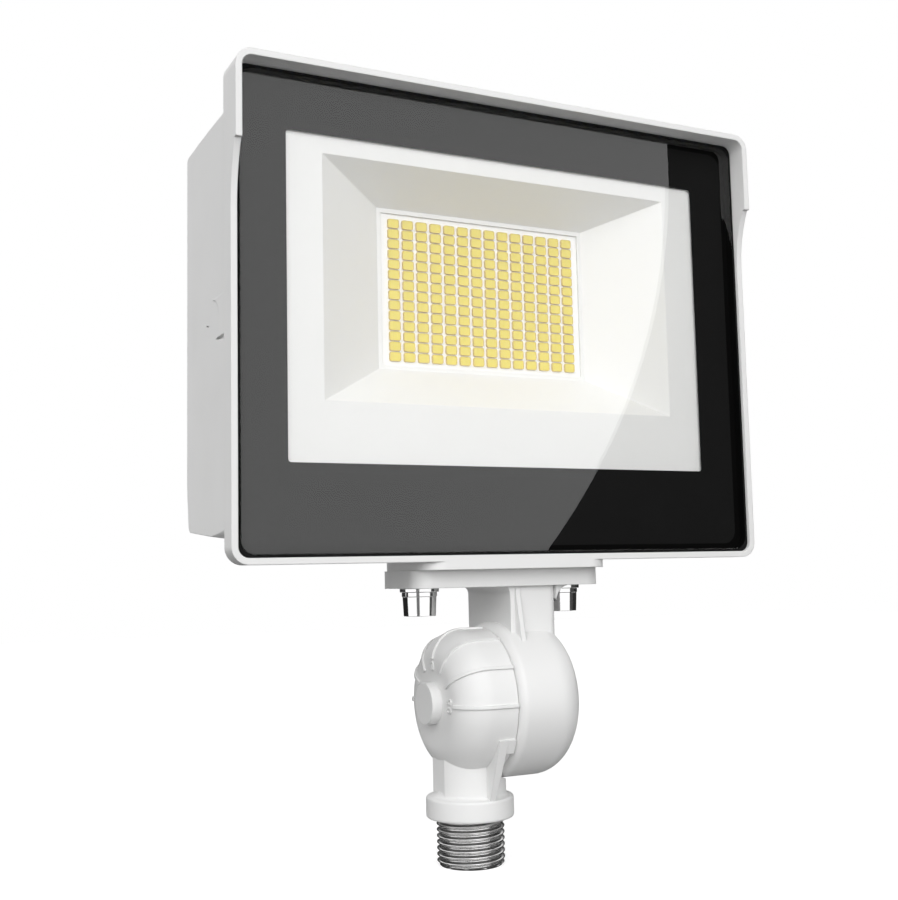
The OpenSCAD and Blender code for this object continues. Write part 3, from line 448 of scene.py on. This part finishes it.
# Reflector: matt white sheet pressed into a rectangular funnel, with a flat rim and four cups.
# Its screws go into the housing's posts.
white_sheet = make_material(
    "matt_white_sheet", (0.86, 0.86, 0.85, 1), (0.84, 0.84, 0.83, 1), rough=0.5, grain=1600.0,
    mottle=30.0, bump=0.08, depth=0.01, edge=0.3, Specular_IOR_Level=0.4)
finished("reflector", white_sheet)
for node in ("reflector_screws", "board_screws"):
    finished(node, steel)

# Light board: aluminium board with a glossy white solder mask.
# Four screws clamp it and the heat pad to the housing's plate.
white_mask = make_material(
    "white_solder_mask", (0.97, 0.97, 0.97, 1), (0.955, 0.955, 0.955, 1), rough=0.35, grain=1800.0,
    mottle=90.0, bump=0.1, depth=0.01)
finished("led_board", white_mask)

# Light chips: moulded plastic cases filled with yellow phosphor gel, their faces a little sunk. The cases'
# sides and rims are a darker gold, partly their own tone and partly painted shade on the side faces.
# They are soldered to the board in even rows.
COLUMNS = 14
ROWS = 14
CHIP_PITCH_X = 4.89 * MM
CHIP_PITCH_Z = 3.26 * MM
CHIP_W = 3.8 * MM
CHIP_H = 2.9 * MM
CHIP_T = 0.7 * MM
CHIP_CORNER = 0.55 * MM
CHIP_RIM = 0.9
CHIP_SINK = 0.1 * MM
CORNER_STEPS = 3
phosphor = make_material(
    "phosphor_gel", (0.81, 0.665, 0.015, 1), (0.78, 0.635, 0.012, 1), rough=0.42, grain=2500.0,
    mottle=700.0, bump=0.15, depth=0.02)
# Darker gold for the chips' sides and rims: partly the case's own tone, partly painted shade on the side
# faces
chip_case_and_shade = make_material(
    "chip_case_and_shade", (0.66, 0.47, 0.03, 1), (0.6, 0.42, 0.025, 1), rough=0.45, grain=2500.0,
    mottle=500.0, bump=0.1, depth=0.01)


def make_chip_tree():
    """A grid of light chips in the X-Z plane about the origin, their lit faces towards -Y."""
    tree, given, out = node_tree("chip_grid", {
        "Columns": COLUMNS, "Rows": ROWS, "Pitch X": CHIP_PITCH_X, "Pitch Z": CHIP_PITCH_Z,
        "Width": CHIP_W, "Height": CHIP_H, "Thickness": CHIP_T, "Corner": CHIP_CORNER, "Rim": CHIP_RIM,
        "Sink": CHIP_SINK})
    outline = add_node(tree, "GeometryNodeCurvePrimitiveQuadrilateral", {
        "Width": given.outputs["Width"], "Height": given.outputs["Height"]})
    rounded = add_node(tree, "GeometryNodeFilletCurve", {
        "Curve": outline.outputs[0], "Count": CORNER_STEPS, "Radius": given.outputs["Corner"]}, mode="POLY")
    filled = add_node(tree, "GeometryNodeFillCurve", {"Curve": rounded.outputs[0]}, mode="NGONS")
    block = add_node(tree, "GeometryNodeExtrudeMesh", {
        "Mesh": filled.outputs[0], "Offset Scale": given.outputs["Thickness"]}, mode="FACES")
    rim = add_node(tree, "GeometryNodeExtrudeMesh", {
        "Mesh": block.outputs["Mesh"], "Selection": block.outputs["Top"], "Offset Scale": 0.0}, mode="FACES")
    inset = add_node(tree, "GeometryNodeScaleElements", {
        "Geometry": rim.outputs["Mesh"], "Selection": rim.outputs["Top"], "Scale": given.outputs["Rim"]})
    sunk = add_node(tree, "GeometryNodeExtrudeMesh", {
        "Mesh": inset.outputs[0], "Selection": rim.outputs["Top"],
        "Offset Scale": math_of(tree, "MULTIPLY", given.outputs["Sink"], -1.0)}, mode="FACES")
    cased = add_node(tree, "GeometryNodeSetMaterial", {
        "Geometry": sunk.outputs["Mesh"], "Material": chip_case_and_shade})
    gel = add_node(tree, "GeometryNodeSetMaterial", {
        "Geometry": cased.outputs[0], "Selection": sunk.outputs["Top"], "Material": phosphor})
    span = []
    for pitch, count in (("Pitch X", "Columns"), ("Pitch Z", "Rows")):
        gaps = math_of(tree, "SUBTRACT", given.outputs[count], 1.0)
        span.append(math_of(tree, "MULTIPLY", given.outputs[pitch], gaps))
    grid = add_node(tree, "GeometryNodeMeshGrid", {
        "Size X": span[0], "Size Y": span[1],
        "Vertices X": given.outputs["Columns"], "Vertices Y": given.outputs["Rows"]})
    each = add_node(tree, "GeometryNodeInstanceOnPoints", {
        "Points": grid.outputs["Mesh"], "Instance": gel.outputs[0]})
    real = add_node(tree, "GeometryNodeRealizeInstances", {"Geometry": each.outputs[0]})
    upright = add_node(tree, "GeometryNodeTransform", {
        "Geometry": real.outputs[0], "Rotation": (math.pi / 2, 0.0, 0.0)})
    tree.links.new(upright.outputs[0], out.inputs[0])
    return tree


chip_low, chip_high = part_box("led_chips")
chips, mesh = grown("light_chips", [(0, 0, 0)], make_chip_tree(), {})
mesh.transform(Matrix.Translation(Vector((
    (chip_low[0] + chip_high[0]) / 2, chip_high[1], (chip_low[2] + chip_high[2]) / 2))))
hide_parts("led_chips")
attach(chips, "head")

# Heat pad: soft grey silicone sheet, a little smaller than the light board.
# It lies between the board and the housing's plate, pressed by the board's screws.
grey_pad = make_material(
    "grey_heat_pad", (0.42, 0.42, 0.44, 1), (0.36, 0.36, 0.38, 1), rough=0.8, grain=1500.0,
    mottle=200.0, bump=0.3, depth=0.03)
finished("heat_pad", grey_pad)

# Driver: anodised aluminium case and cover, held in the housing's bay by two screws.
# Inside are a green board with wound parts set in dark potting; two leads go up to the light board.
driver_metal = make_material(
    "brushed_anodised", (0.56, 0.56, 0.58, 1), (0.5, 0.5, 0.52, 1), rough=0.38, grain=700.0,
    mottle=60.0, stretch=12.0, bump=0.2, depth=0.02, Metallic=1.0)
board_green = make_material(
    "green_solder_mask", (0.03, 0.2, 0.08, 1), (0.04, 0.24, 0.1, 1), rough=0.35, grain=900.0,
    mottle=300.0, bump=0.2, depth=0.02)
coil_tape = make_material(
    "winding_tape", (0.72, 0.52, 0.08, 1), (0.62, 0.44, 0.07, 1), rough=0.45, grain=600.0,
    mottle=200.0, stretch=6.0, bump=0.3, depth=0.05)
potting = make_material(
    "potting_compound", (0.1, 0.1, 0.105, 1), (0.13, 0.13, 0.135, 1), rough=0.5, grain=500.0,
    mottle=90.0, bump=0.3, depth=0.05)
lead_red = make_material(
    "lead_insulation", (0.5, 0.02, 0.02, 1), (0.42, 0.02, 0.02, 1), rough=0.45, grain=800.0,
    mottle=200.0, bump=0.1, depth=0.02)
for node, material in (
        ("driver_case", driver_metal), ("driver_cover", driver_metal), ("driver_board", board_green),
        ("driver_coils", coil_tape), ("driver_potting", potting), ("led_leads", lead_red),
        ("driver_screws", steel)):
    finished(node, material)

# Knuckle: two aluminium castings with the same coat, the upper with the flange and the disc,
# the lower with the dome, its angle scale, the stem and the collar. One bolt clamps them.
finished("knuckle_arm", white_coat)
PIVOT_Z = 34.75 * MM
LAND_R = 21.6 * MM
LAND_WIDTH = 1.5 * MM
LAND_FOOT = 5.5 * MM
LAND_TOP = 5.93 * MM
LAND_STEPS = 160


def coated_base():
    """The lower casting with a raised land on its rim that closes the joint to a fine line."""
    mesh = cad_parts["knuckle_base"].data.copy()
    mesh.name = "coated_base"
    mesh.materials.clear()
    mesh.materials.append(white_coat)
    shape = bmesh.new()
    shape.from_mesh(mesh)
    turns = [math.tau * k / LAND_STEPS for k in range(LAND_STEPS)]
    rings = [[shape.verts.new((x, radius * math.cos(turn), PIVOT_Z + radius * math.sin(turn)))
              for turn in turns]
             for x, radius in ((LAND_FOOT, LAND_R), (LAND_TOP, LAND_R),
                               (LAND_TOP, LAND_R - LAND_WIDTH), (LAND_FOOT, LAND_R - LAND_WIDTH))]
    made = []
    for k, first in enumerate(rings):
        second = rings[(k + 1) % len(rings)]
        for j in range(LAND_STEPS):
            after = (j + 1) % LAND_STEPS
            made.append(shape.faces.new((first[j], first[after], second[after], second[j])))
    bmesh.ops.recalc_face_normals(shape, faces=made)
    shape.to_mesh(mesh)
    shape.free()
    return mesh


base = bpy.data.objects.new("coated_base", coated_base())
bpy.context.scene.collection.objects.link(base)
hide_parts("knuckle_base")
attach(base, "stand")

# Flange bolts: bright stainless steel socket heads on split and flat washers, screwed up into the pad.
# The knuckle's clamp bolt and its washer are the same bright steel.
bright_steel = make_material(
    "bright_stainless", (0.72, 0.72, 0.72, 1), (0.66, 0.66, 0.66, 1), rough=0.1, rough_swing=0.03,
    grain=900.0, mottle=300.0, bump=0.05, depth=0.01, Metallic=1.0)
BOLT_HEAD = 5.9 * MM
BOLT_TIP_R = 4.9 * MM
BOLT_RIM_R = 5.2 * MM
BOLT_FLAT = 0.3 * MM
BETWEEN_BOLTS = 10 * MM


def merged_copy(node, name):
    """A copy of a CAD node's mesh with its loose triangles joined and its flat faces cleared."""
    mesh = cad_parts[node].data.copy()
    mesh.name = name
    shape = bmesh.new()
    shape.from_mesh(mesh)
    bmesh.ops.remove_doubles(shape, verts=shape.verts, dist=1e-6)
    bmesh.ops.dissolve_limit(shape, angle_limit=math.radians(0.4), verts=shape.verts, edges=shape.edges)
    for face in shape.faces:
        face.smooth = True
    shape.to_mesh(mesh)
    shape.free()
    piece = bpy.data.objects.new(name, mesh)
    bpy.context.scene.collection.objects.link(piece)
    if mesh.has_custom_normals:
        with bpy.context.temp_override(object=piece, active_object=piece, selected_objects=[piece]):
            bpy.ops.mesh.customdata_custom_splitnormals_clear()
    return piece


def taper_heads(mesh):
    """Draws the rim of each bolt head in, so that its side is one straight taper down to the tip."""
    foot = min(v.co.z for v in mesh.vertices)
    centres = [0.5 * (min(side) + max(side)) for side in (
        [v.co.x for v in mesh.vertices if v.co.x < BETWEEN_BOLTS],
        [v.co.x for v in mesh.vertices if v.co.x > BETWEEN_BOLTS])]
    middle = 0.5 * (min(v.co.y for v in mesh.vertices) + max(v.co.y for v in mesh.vertices))
    for v in mesh.vertices:
        centre = min(centres, key=lambda x: abs(x - v.co.x))
        away = math.hypot(v.co.x - centre, v.co.y - middle)
        if foot + BOLT_FLAT < v.co.z < foot + BOLT_HEAD - BOLT_FLAT and away > BOLT_TIP_R:
            shrink = (BOLT_TIP_R + (BOLT_RIM_R - BOLT_TIP_R) * (v.co.z - foot) / BOLT_HEAD) / away
            v.co.x = centre + (v.co.x - centre) * shrink
            v.co.y = middle + (v.co.y - middle) * shrink


def soft_copy(node, name, width, body):
    """A steel piece with its sharp edges really rounded, to stand for its CAD node."""
    piece = merged_copy(node, name)
    if node == "flange_bolts":
        taper_heads(piece.data)
    bevel = piece.modifiers.new("edges", "BEVEL")
    bevel.width = width
    bevel.segments = 3
    bevel.limit_method = "ANGLE"
    bevel.angle_limit = math.radians(28)
    bevel.harden_normals = True
    bevel.miter_outer = "MITER_ARC"
    mesh = bake(piece, name)
    mesh.materials.clear()
    mesh.materials.append(bright_steel)
    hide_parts(node)
    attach(piece, body)


soft_copy("flange_bolts", "socket_bolts", 0.12 * MM, "head")
soft_copy("spring_washers", "split_washers", 0.15 * MM, "head")
soft_copy("flat_washers", "plain_washers", 0.15 * MM, "head")
soft_copy("pivot_bolt", "clamp_bolt", 0.3 * MM, "stand")
soft_copy("pivot_washer", "clamp_washer", 0.2 * MM, "stand")

# Mounting thread: steel nipple with the half-inch straight pipe thread, dark grey and slightly oily.
# It sits in the lower casting and is hollow for the supply wires.
PITCH = 1.814
CREST = 10.41
ROOT = 9.3
THREAD_END = -14.2
THREAD_CHAMFER = 0.9
THREAD_AROUND = 97
THREAD_ALONG = 129
NECK_INSET = 0.25
BORE = 7.9
SOCKET_Z = 7.9
dark_thread = make_material(
    "dark_thread_steel", (0.78, 0.775, 0.77, 1), (0.7, 0.7, 0.7, 1), rough=0.24, grain=700.0,
    mottle=120.0, bump=0.03, depth=0.01, Metallic=1.0)


def make_thread_tree():
    """A helical thread round Z from the origin down, closed by its end, bore and neck."""
    tree, given, out = node_tree("pipe_thread", {
        "Crest": CREST * MM, "Root": ROOT * MM, "Pitch": PITCH * MM, "Length": -THREAD_END * MM,
        "Bore": BORE * MM, "Neck": SOCKET_Z * MM, "Chamfer": THREAD_CHAMFER * MM, "Around": THREAD_AROUND,
        "Along": THREAD_ALONG})
    crest, root, length = [given.outputs[k] for k in ("Crest", "Root", "Length")]
    grid = add_node(tree, "GeometryNodeMeshGrid", {
        "Size X": 1.0, "Size Y": 1.0, "Vertices X": given.outputs["Around"],
        "Vertices Y": given.outputs["Along"]})
    at = add_node(tree, "ShaderNodeSeparateXYZ", {0: add_node(tree, "GeometryNodeInputPosition").outputs[0]})
    share = math_of(tree, "ADD", at.outputs["X"], 0.5)
    turn = math_of(tree, "MULTIPLY", share, math.tau)
    depth = math_of(tree, "MULTIPLY", math_of(tree, "SUBTRACT", at.outputs["Y"], 0.5), length)
    phase = math_of(tree, "SUBTRACT", math_of(tree, "DIVIDE", depth, given.outputs["Pitch"]), share)
    wave = math_of(tree, "PINGPONG", math_of(tree, "MULTIPLY", phase, 2.0), 1.0)
    ridge = add_node(tree, "ShaderNodeMapRange", {
        "Value": wave, "From Min": 0.04, "From Max": 0.96, "To Min": root, "To Max": crest},
        interpolation_type="SMOOTHSTEP").outputs[0]
    tip = math_of(tree, "ADD", math_of(tree, "SUBTRACT", crest, given.outputs["Chamfer"]),
                  math_of(tree, "ADD", depth, length))
    radius = math_of(tree, "MINIMUM", ridge, tip)
    place = add_node(tree, "ShaderNodeCombineXYZ", {
        "X": math_of(tree, "MULTIPLY", radius, math_of(tree, "COSINE", turn)),
        "Y": math_of(tree, "MULTIPLY", radius, math_of(tree, "SINE", turn)), "Z": depth})
    outer = add_node(tree, "GeometryNodeSetPosition", {
        "Geometry": grid.outputs["Mesh"], "Position": place.outputs[0]})
    whole = add_node(tree, "GeometryNodeJoinGeometry")
    tree.links.new(outer.outputs[0], whole.inputs[0])
    neck_r = math_of(tree, "SUBTRACT", root, NECK_INSET * MM)
    bore, neck = given.outputs["Bore"], given.outputs["Neck"]
    bottom = math_of(tree, "MULTIPLY", length, -1.0)
    for wall_r, low_z in ((bore, bottom), (neck_r, 0.0)):
        wall = add_node(tree, "GeometryNodeMeshGrid", {
            "Size X": 1.0, "Size Y": 1.0, "Vertices X": given.outputs["Around"], "Vertices Y": 2})
        rise = math_of(tree, "ADD", at.outputs["Y"], 0.5)
        z = add_node(tree, "ShaderNodeMapRange", {"Value": rise, "To Min": low_z, "To Max": neck}).outputs[0]
        spot = add_node(tree, "ShaderNodeCombineXYZ", {
            "X": math_of(tree, "MULTIPLY", wall_r, math_of(tree, "COSINE", turn)),
            "Y": math_of(tree, "MULTIPLY", wall_r, math_of(tree, "SINE", turn)), "Z": z})
        bent = add_node(tree, "GeometryNodeSetPosition", {
            "Geometry": wall.outputs["Mesh"], "Position": spot.outputs[0]})
        tree.links.new(bent.outputs[0], whole.inputs[0])
    joined = add_node(tree, "GeometryNodeMergeByDistance", {
        "Geometry": whole.outputs[0], "Distance": 0.002 * MM})
    finish = add_node(tree, "GeometryNodeSetMaterial", {
        "Geometry": joined.outputs[0], "Material": dark_thread})
    tree.links.new(finish.outputs[0], out.inputs[0])
    return tree


def close_pipe(mesh):
    """Joins the open rims of thread, bore and neck, and keeps the edges between them sharp."""
    shape = bmesh.new()
    shape.from_mesh(mesh)
    bmesh.ops.holes_fill(shape, edges=[], sides=0)
    rims = {}
    for edge in shape.edges:
        if edge.is_boundary:
            middle = (edge.verts[0].co + edge.verts[1].co) / 2
            inner = middle.xy.length < (BORE + 0.2) * MM
            rims.setdefault((round(middle.z / MM * 5), inner), []).append(edge)
    for level in {key[0] for key in rims}:
        inside, outside = rims.get((level, True)), rims.get((level, False))
        if inside and outside:
            bmesh.ops.bridge_loops(shape, edges=inside + outside)
    still_open = [edge for edge in shape.edges if edge.is_boundary]
    if still_open:
        bmesh.ops.bridge_loops(shape, edges=still_open)
    bmesh.ops.recalc_face_normals(shape, faces=shape.faces)
    for face in shape.faces:
        face.smooth = True
    for edge in shape.edges:
        if len(edge.link_faces) == 2 and edge.calc_face_angle() > 0.7:
            edge.smooth = False
    shape.to_mesh(mesh)
    shape.free()


thread, mesh = grown("threaded_pipe", [(0, 0, 0)], make_thread_tree(), {})
close_pipe(mesh)
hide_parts("threaded_nipple")
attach(thread, "stand")

# Camera: low in front and to the left, with a short telephoto lens and a slight tilt.
# Its place is in millimetres and its turns are in degrees.
CAMERA_AT = (-171.995, -336.186, 74.226)
TURN, RISE, ROLL = -26.472, 5.852, 1.240
lens = bpy.data.cameras.new("camera")
lens.sensor_width = 36
lens.sensor_fit = "HORIZONTAL"
lens.lens = 48.077
lens.clip_start = 0.01
lens.clip_end = 50
camera = bpy.data.objects.new("camera", lens)
bpy.context.scene.collection.objects.link(camera)
camera.matrix_world = (
    Matrix.Translation(Vector(CAMERA_AT) * MM)
    @ Matrix.Rotation(math.radians(TURN), 4, "Z")
    @ Matrix.Rotation(math.radians(RISE), 4, "X")
    @ Matrix.Rotation(math.radians(ROLL), 4, "Y")
    @ Matrix.Rotation(math.radians(90), 4, "X"))
bpy.context.scene.camera = camera

# Floor: a pale sweep just under the thread's end.
# To the camera it is white with the object's shadow; it throws back a little light near the thread.
FLOOR_Z = THREAD_END - 0.05
FLOOR_HALF = 1500
BOUNCE_NEAR = (0.08, 0.45)
BOUNCE_FAR = (0.16, 0.04)


def flat_card(name, corners, material):
    """A flat card from its corners in millimetres."""
    mesh = bpy.data.meshes.new(name)
    mesh.from_pydata([[v * MM for v in corner] for corner in corners], [], [range(len(corners))])
    mesh.materials.append(material)
    card = bpy.data.objects.new(name, mesh)
    bpy.context.scene.collection.objects.link(card)
    return card


def seen_directly(tree):
    """One where the camera sees the surface straight, mirrored or through glass, else nought."""
    rays = add_node(tree, "ShaderNodeLightPath")
    seen = math_of(tree, "MAXIMUM", rays.outputs["Is Camera Ray"], rays.outputs["Is Glossy Ray"])
    return math_of(tree, "MAXIMUM", seen, rays.outputs["Is Transmission Ray"])


def make_floor_material():
    """White to the eye, and a grey that fades with distance to the light it scatters."""
    mat = bpy.data.materials.new("white_floor")
    mat.use_nodes = True
    tree = mat.node_tree
    tree.nodes.clear()
    away = add_node(tree, "ShaderNodeVectorMath", {
        0: add_node(tree, "ShaderNodeTexCoord").outputs["Object"]}, operation="LENGTH").outputs["Value"]
    bounce = add_node(tree, "ShaderNodeMapRange", {
        "Value": away, "From Min": BOUNCE_NEAR[0], "From Max": BOUNCE_FAR[0], "To Min": BOUNCE_NEAR[1],
        "To Max": BOUNCE_FAR[1]}).outputs[0]
    lit = add_node(tree, "ShaderNodeBsdfDiffuse", {"Color": bounce})
    pale = add_node(tree, "ShaderNodeBsdfDiffuse", {"Color": (0.5, 0.5, 0.5, 1)})
    glow = add_node(tree, "ShaderNodeEmission", {"Color": (1, 1, 1, 1), "Strength": 0.72})
    bright = add_node(tree, "ShaderNodeAddShader", {0: pale.outputs[0], 1: glow.outputs[0]})
    both = add_node(tree, "ShaderNodeMixShader", {
        0: seen_directly(tree), 1: lit.outputs[0], 2: bright.outputs[0]})
    end = add_node(tree, "ShaderNodeOutputMaterial")
    tree.links.new(both.outputs[0], end.inputs["Surface"])
    return mat


floor = flat_card("floor", [
    (-FLOOR_HALF, -FLOOR_HALF, FLOOR_Z), (FLOOR_HALF, -FLOOR_HALF, FLOOR_Z),
    (FLOOR_HALF, FLOOR_HALF, FLOOR_Z), (-FLOOR_HALF, FLOOR_HALF, FLOOR_Z)], make_floor_material())


# Light: an even white room that is brighter from above and in front.
# A round softbox, a dark flag, a dark mat and five bent cards round the knuckle show in reflections
# alone: the first two in the glass, the others in the bright steel and the thread.
SOFTBOX_AT = (-252, -715.6, 508)
SOFTBOX_HALF = (856, 700)
FLAG_Y = -730
CARD_MIDDLE_X = 6
CARD_TOP = 74
MAT_R = 150


def emitter(name, strength):
    """A plain white glow."""
    mat = bpy.data.materials.new(name)
    mat.use_nodes = True
    tree = mat.node_tree
    tree.nodes.clear()
    glow = add_node(tree, "ShaderNodeEmission", {"Color": (1, 1, 1, 1), "Strength": strength})
    end = add_node(tree, "ShaderNodeOutputMaterial")
    tree.links.new(glow.outputs[0], end.inputs["Surface"])
    return mat


def gloss_only(card):
    """A card that shows in reflections alone."""
    card.visible_camera = False
    card.visible_diffuse = False
    card.visible_transmission = False
    card.visible_shadow = False
    card.visible_volume_scatter = False


softbox = flat_card("round_softbox", [
    (SOFTBOX_AT[0] + SOFTBOX_HALF[0] * math.cos(turn), SOFTBOX_AT[1],
     SOFTBOX_AT[2] + SOFTBOX_HALF[1] * math.sin(turn))
    for turn in [math.radians(2 * k) for k in range(180)]], emitter("softbox_white", 2.15))


def curved_card(name, start, end, low, high, reach, strength):
    """A gloss-only card bent round the knuckle, from one bearing to another, by its height and radius."""
    steps = 24
    corners = [(CARD_MIDDLE_X + reach * math.sin(turn), -reach * math.cos(turn), z)
               for turn in [math.radians(start + (end - start) * k / steps) for k in range(steps + 1)]
               for z in (low, high)]
    mesh = bpy.data.meshes.new(name)
    mesh.from_pydata([[v * MM for v in corner] for corner in corners], [],
                     [(2 * k, 2 * k + 2, 2 * k + 3, 2 * k + 1) for k in range(steps)])
    mesh.materials.append(emitter(name, strength))
    card = bpy.data.objects.new(name, mesh)
    bpy.context.scene.collection.objects.link(card)
    gloss_only(card)
    return card


bands = [
    curved_card("black_back", -110.5, -208, FLOOR_Z, 72, 210, 0.02),
    curved_card("white_front", -110.5, 44, FLOOR_Z, CARD_TOP, 215, 1.5),
    curved_card("grey_strip", -49, -30, 8, CARD_TOP, 200, 0.18),
    curved_card("dark_strip", 44, 72, FLOOR_Z, CARD_TOP, 200, 0.085),
    curved_card("black_side", 72, 152, FLOOR_Z, CARD_TOP, 205, 0.03)]
dark_mat = flat_card("black_mat", [
    (CARD_MIDDLE_X + MAT_R * math.cos(turn), MAT_R * math.sin(turn), FLOOR_Z + 0.1)
    for turn in [math.radians(6 * k) for k in range(60)]], emitter("black_mat", 0.03))
flag = flat_card("dark_flag", [
    (200, FLAG_Y, FLOOR_Z), (1500, FLAG_Y, FLOOR_Z), (1500, FLAG_Y, 1500), (200, FLAG_Y, 1500)],
    emitter("flag_grey", 0.03))
for card in (softbox, dark_mat, flag):
    gloss_only(card)

# The room's soft lights: the way each comes from, how narrow it is, and its strength
ROOM_LIGHTS = (
    ((0.0, 0.0, 1.0), 1.0, 0.5),
    ((0.0, 1.0, 0.0), 2.0, 0.8),
    ((-0.503, -0.704, 0.503), 8.0, 1.82),
    ((-1.0, 0.0, 0.05), 5.0, 0.4),
    ((0.099, -0.988, 0.119), 10.0, 2.95),
    ((-0.75, -0.65, 0.12), 8.0, 1.3),
    ((0.995, 0.0, 0.1), 4.0, 0.55))
world = bpy.data.worlds.new("room")
bpy.context.scene.world = world
world.use_nodes = True
room = world.node_tree
room.nodes.clear()
toward = add_node(room, "ShaderNodeTexCoord").outputs["Generated"]
level = 0.0
for direction, power, light in ROOM_LIGHTS:
    facing = add_node(room, "ShaderNodeVectorMath", {0: toward, 1: direction}, operation="DOT_PRODUCT")
    lobe = math_of(room, "POWER", math_of(room, "MAXIMUM", facing.outputs["Value"], 0.0), power)
    level = math_of(room, "ADD", level, math_of(room, "MULTIPLY", lobe, light))
strength = add_node(room, "ShaderNodeMix", {
    "Factor": seen_directly(room), 2: level, 3: 1.0}, data_type="FLOAT")
back = add_node(room, "ShaderNodeBackground", {"Color": (1, 1, 1, 1), "Strength": strength.outputs[0]})
end = add_node(room, "ShaderNodeOutputWorld")
room.links.new(back.outputs[0], end.inputs["Surface"])
bpy.context.scene.view_settings.view_transform = "Standard"
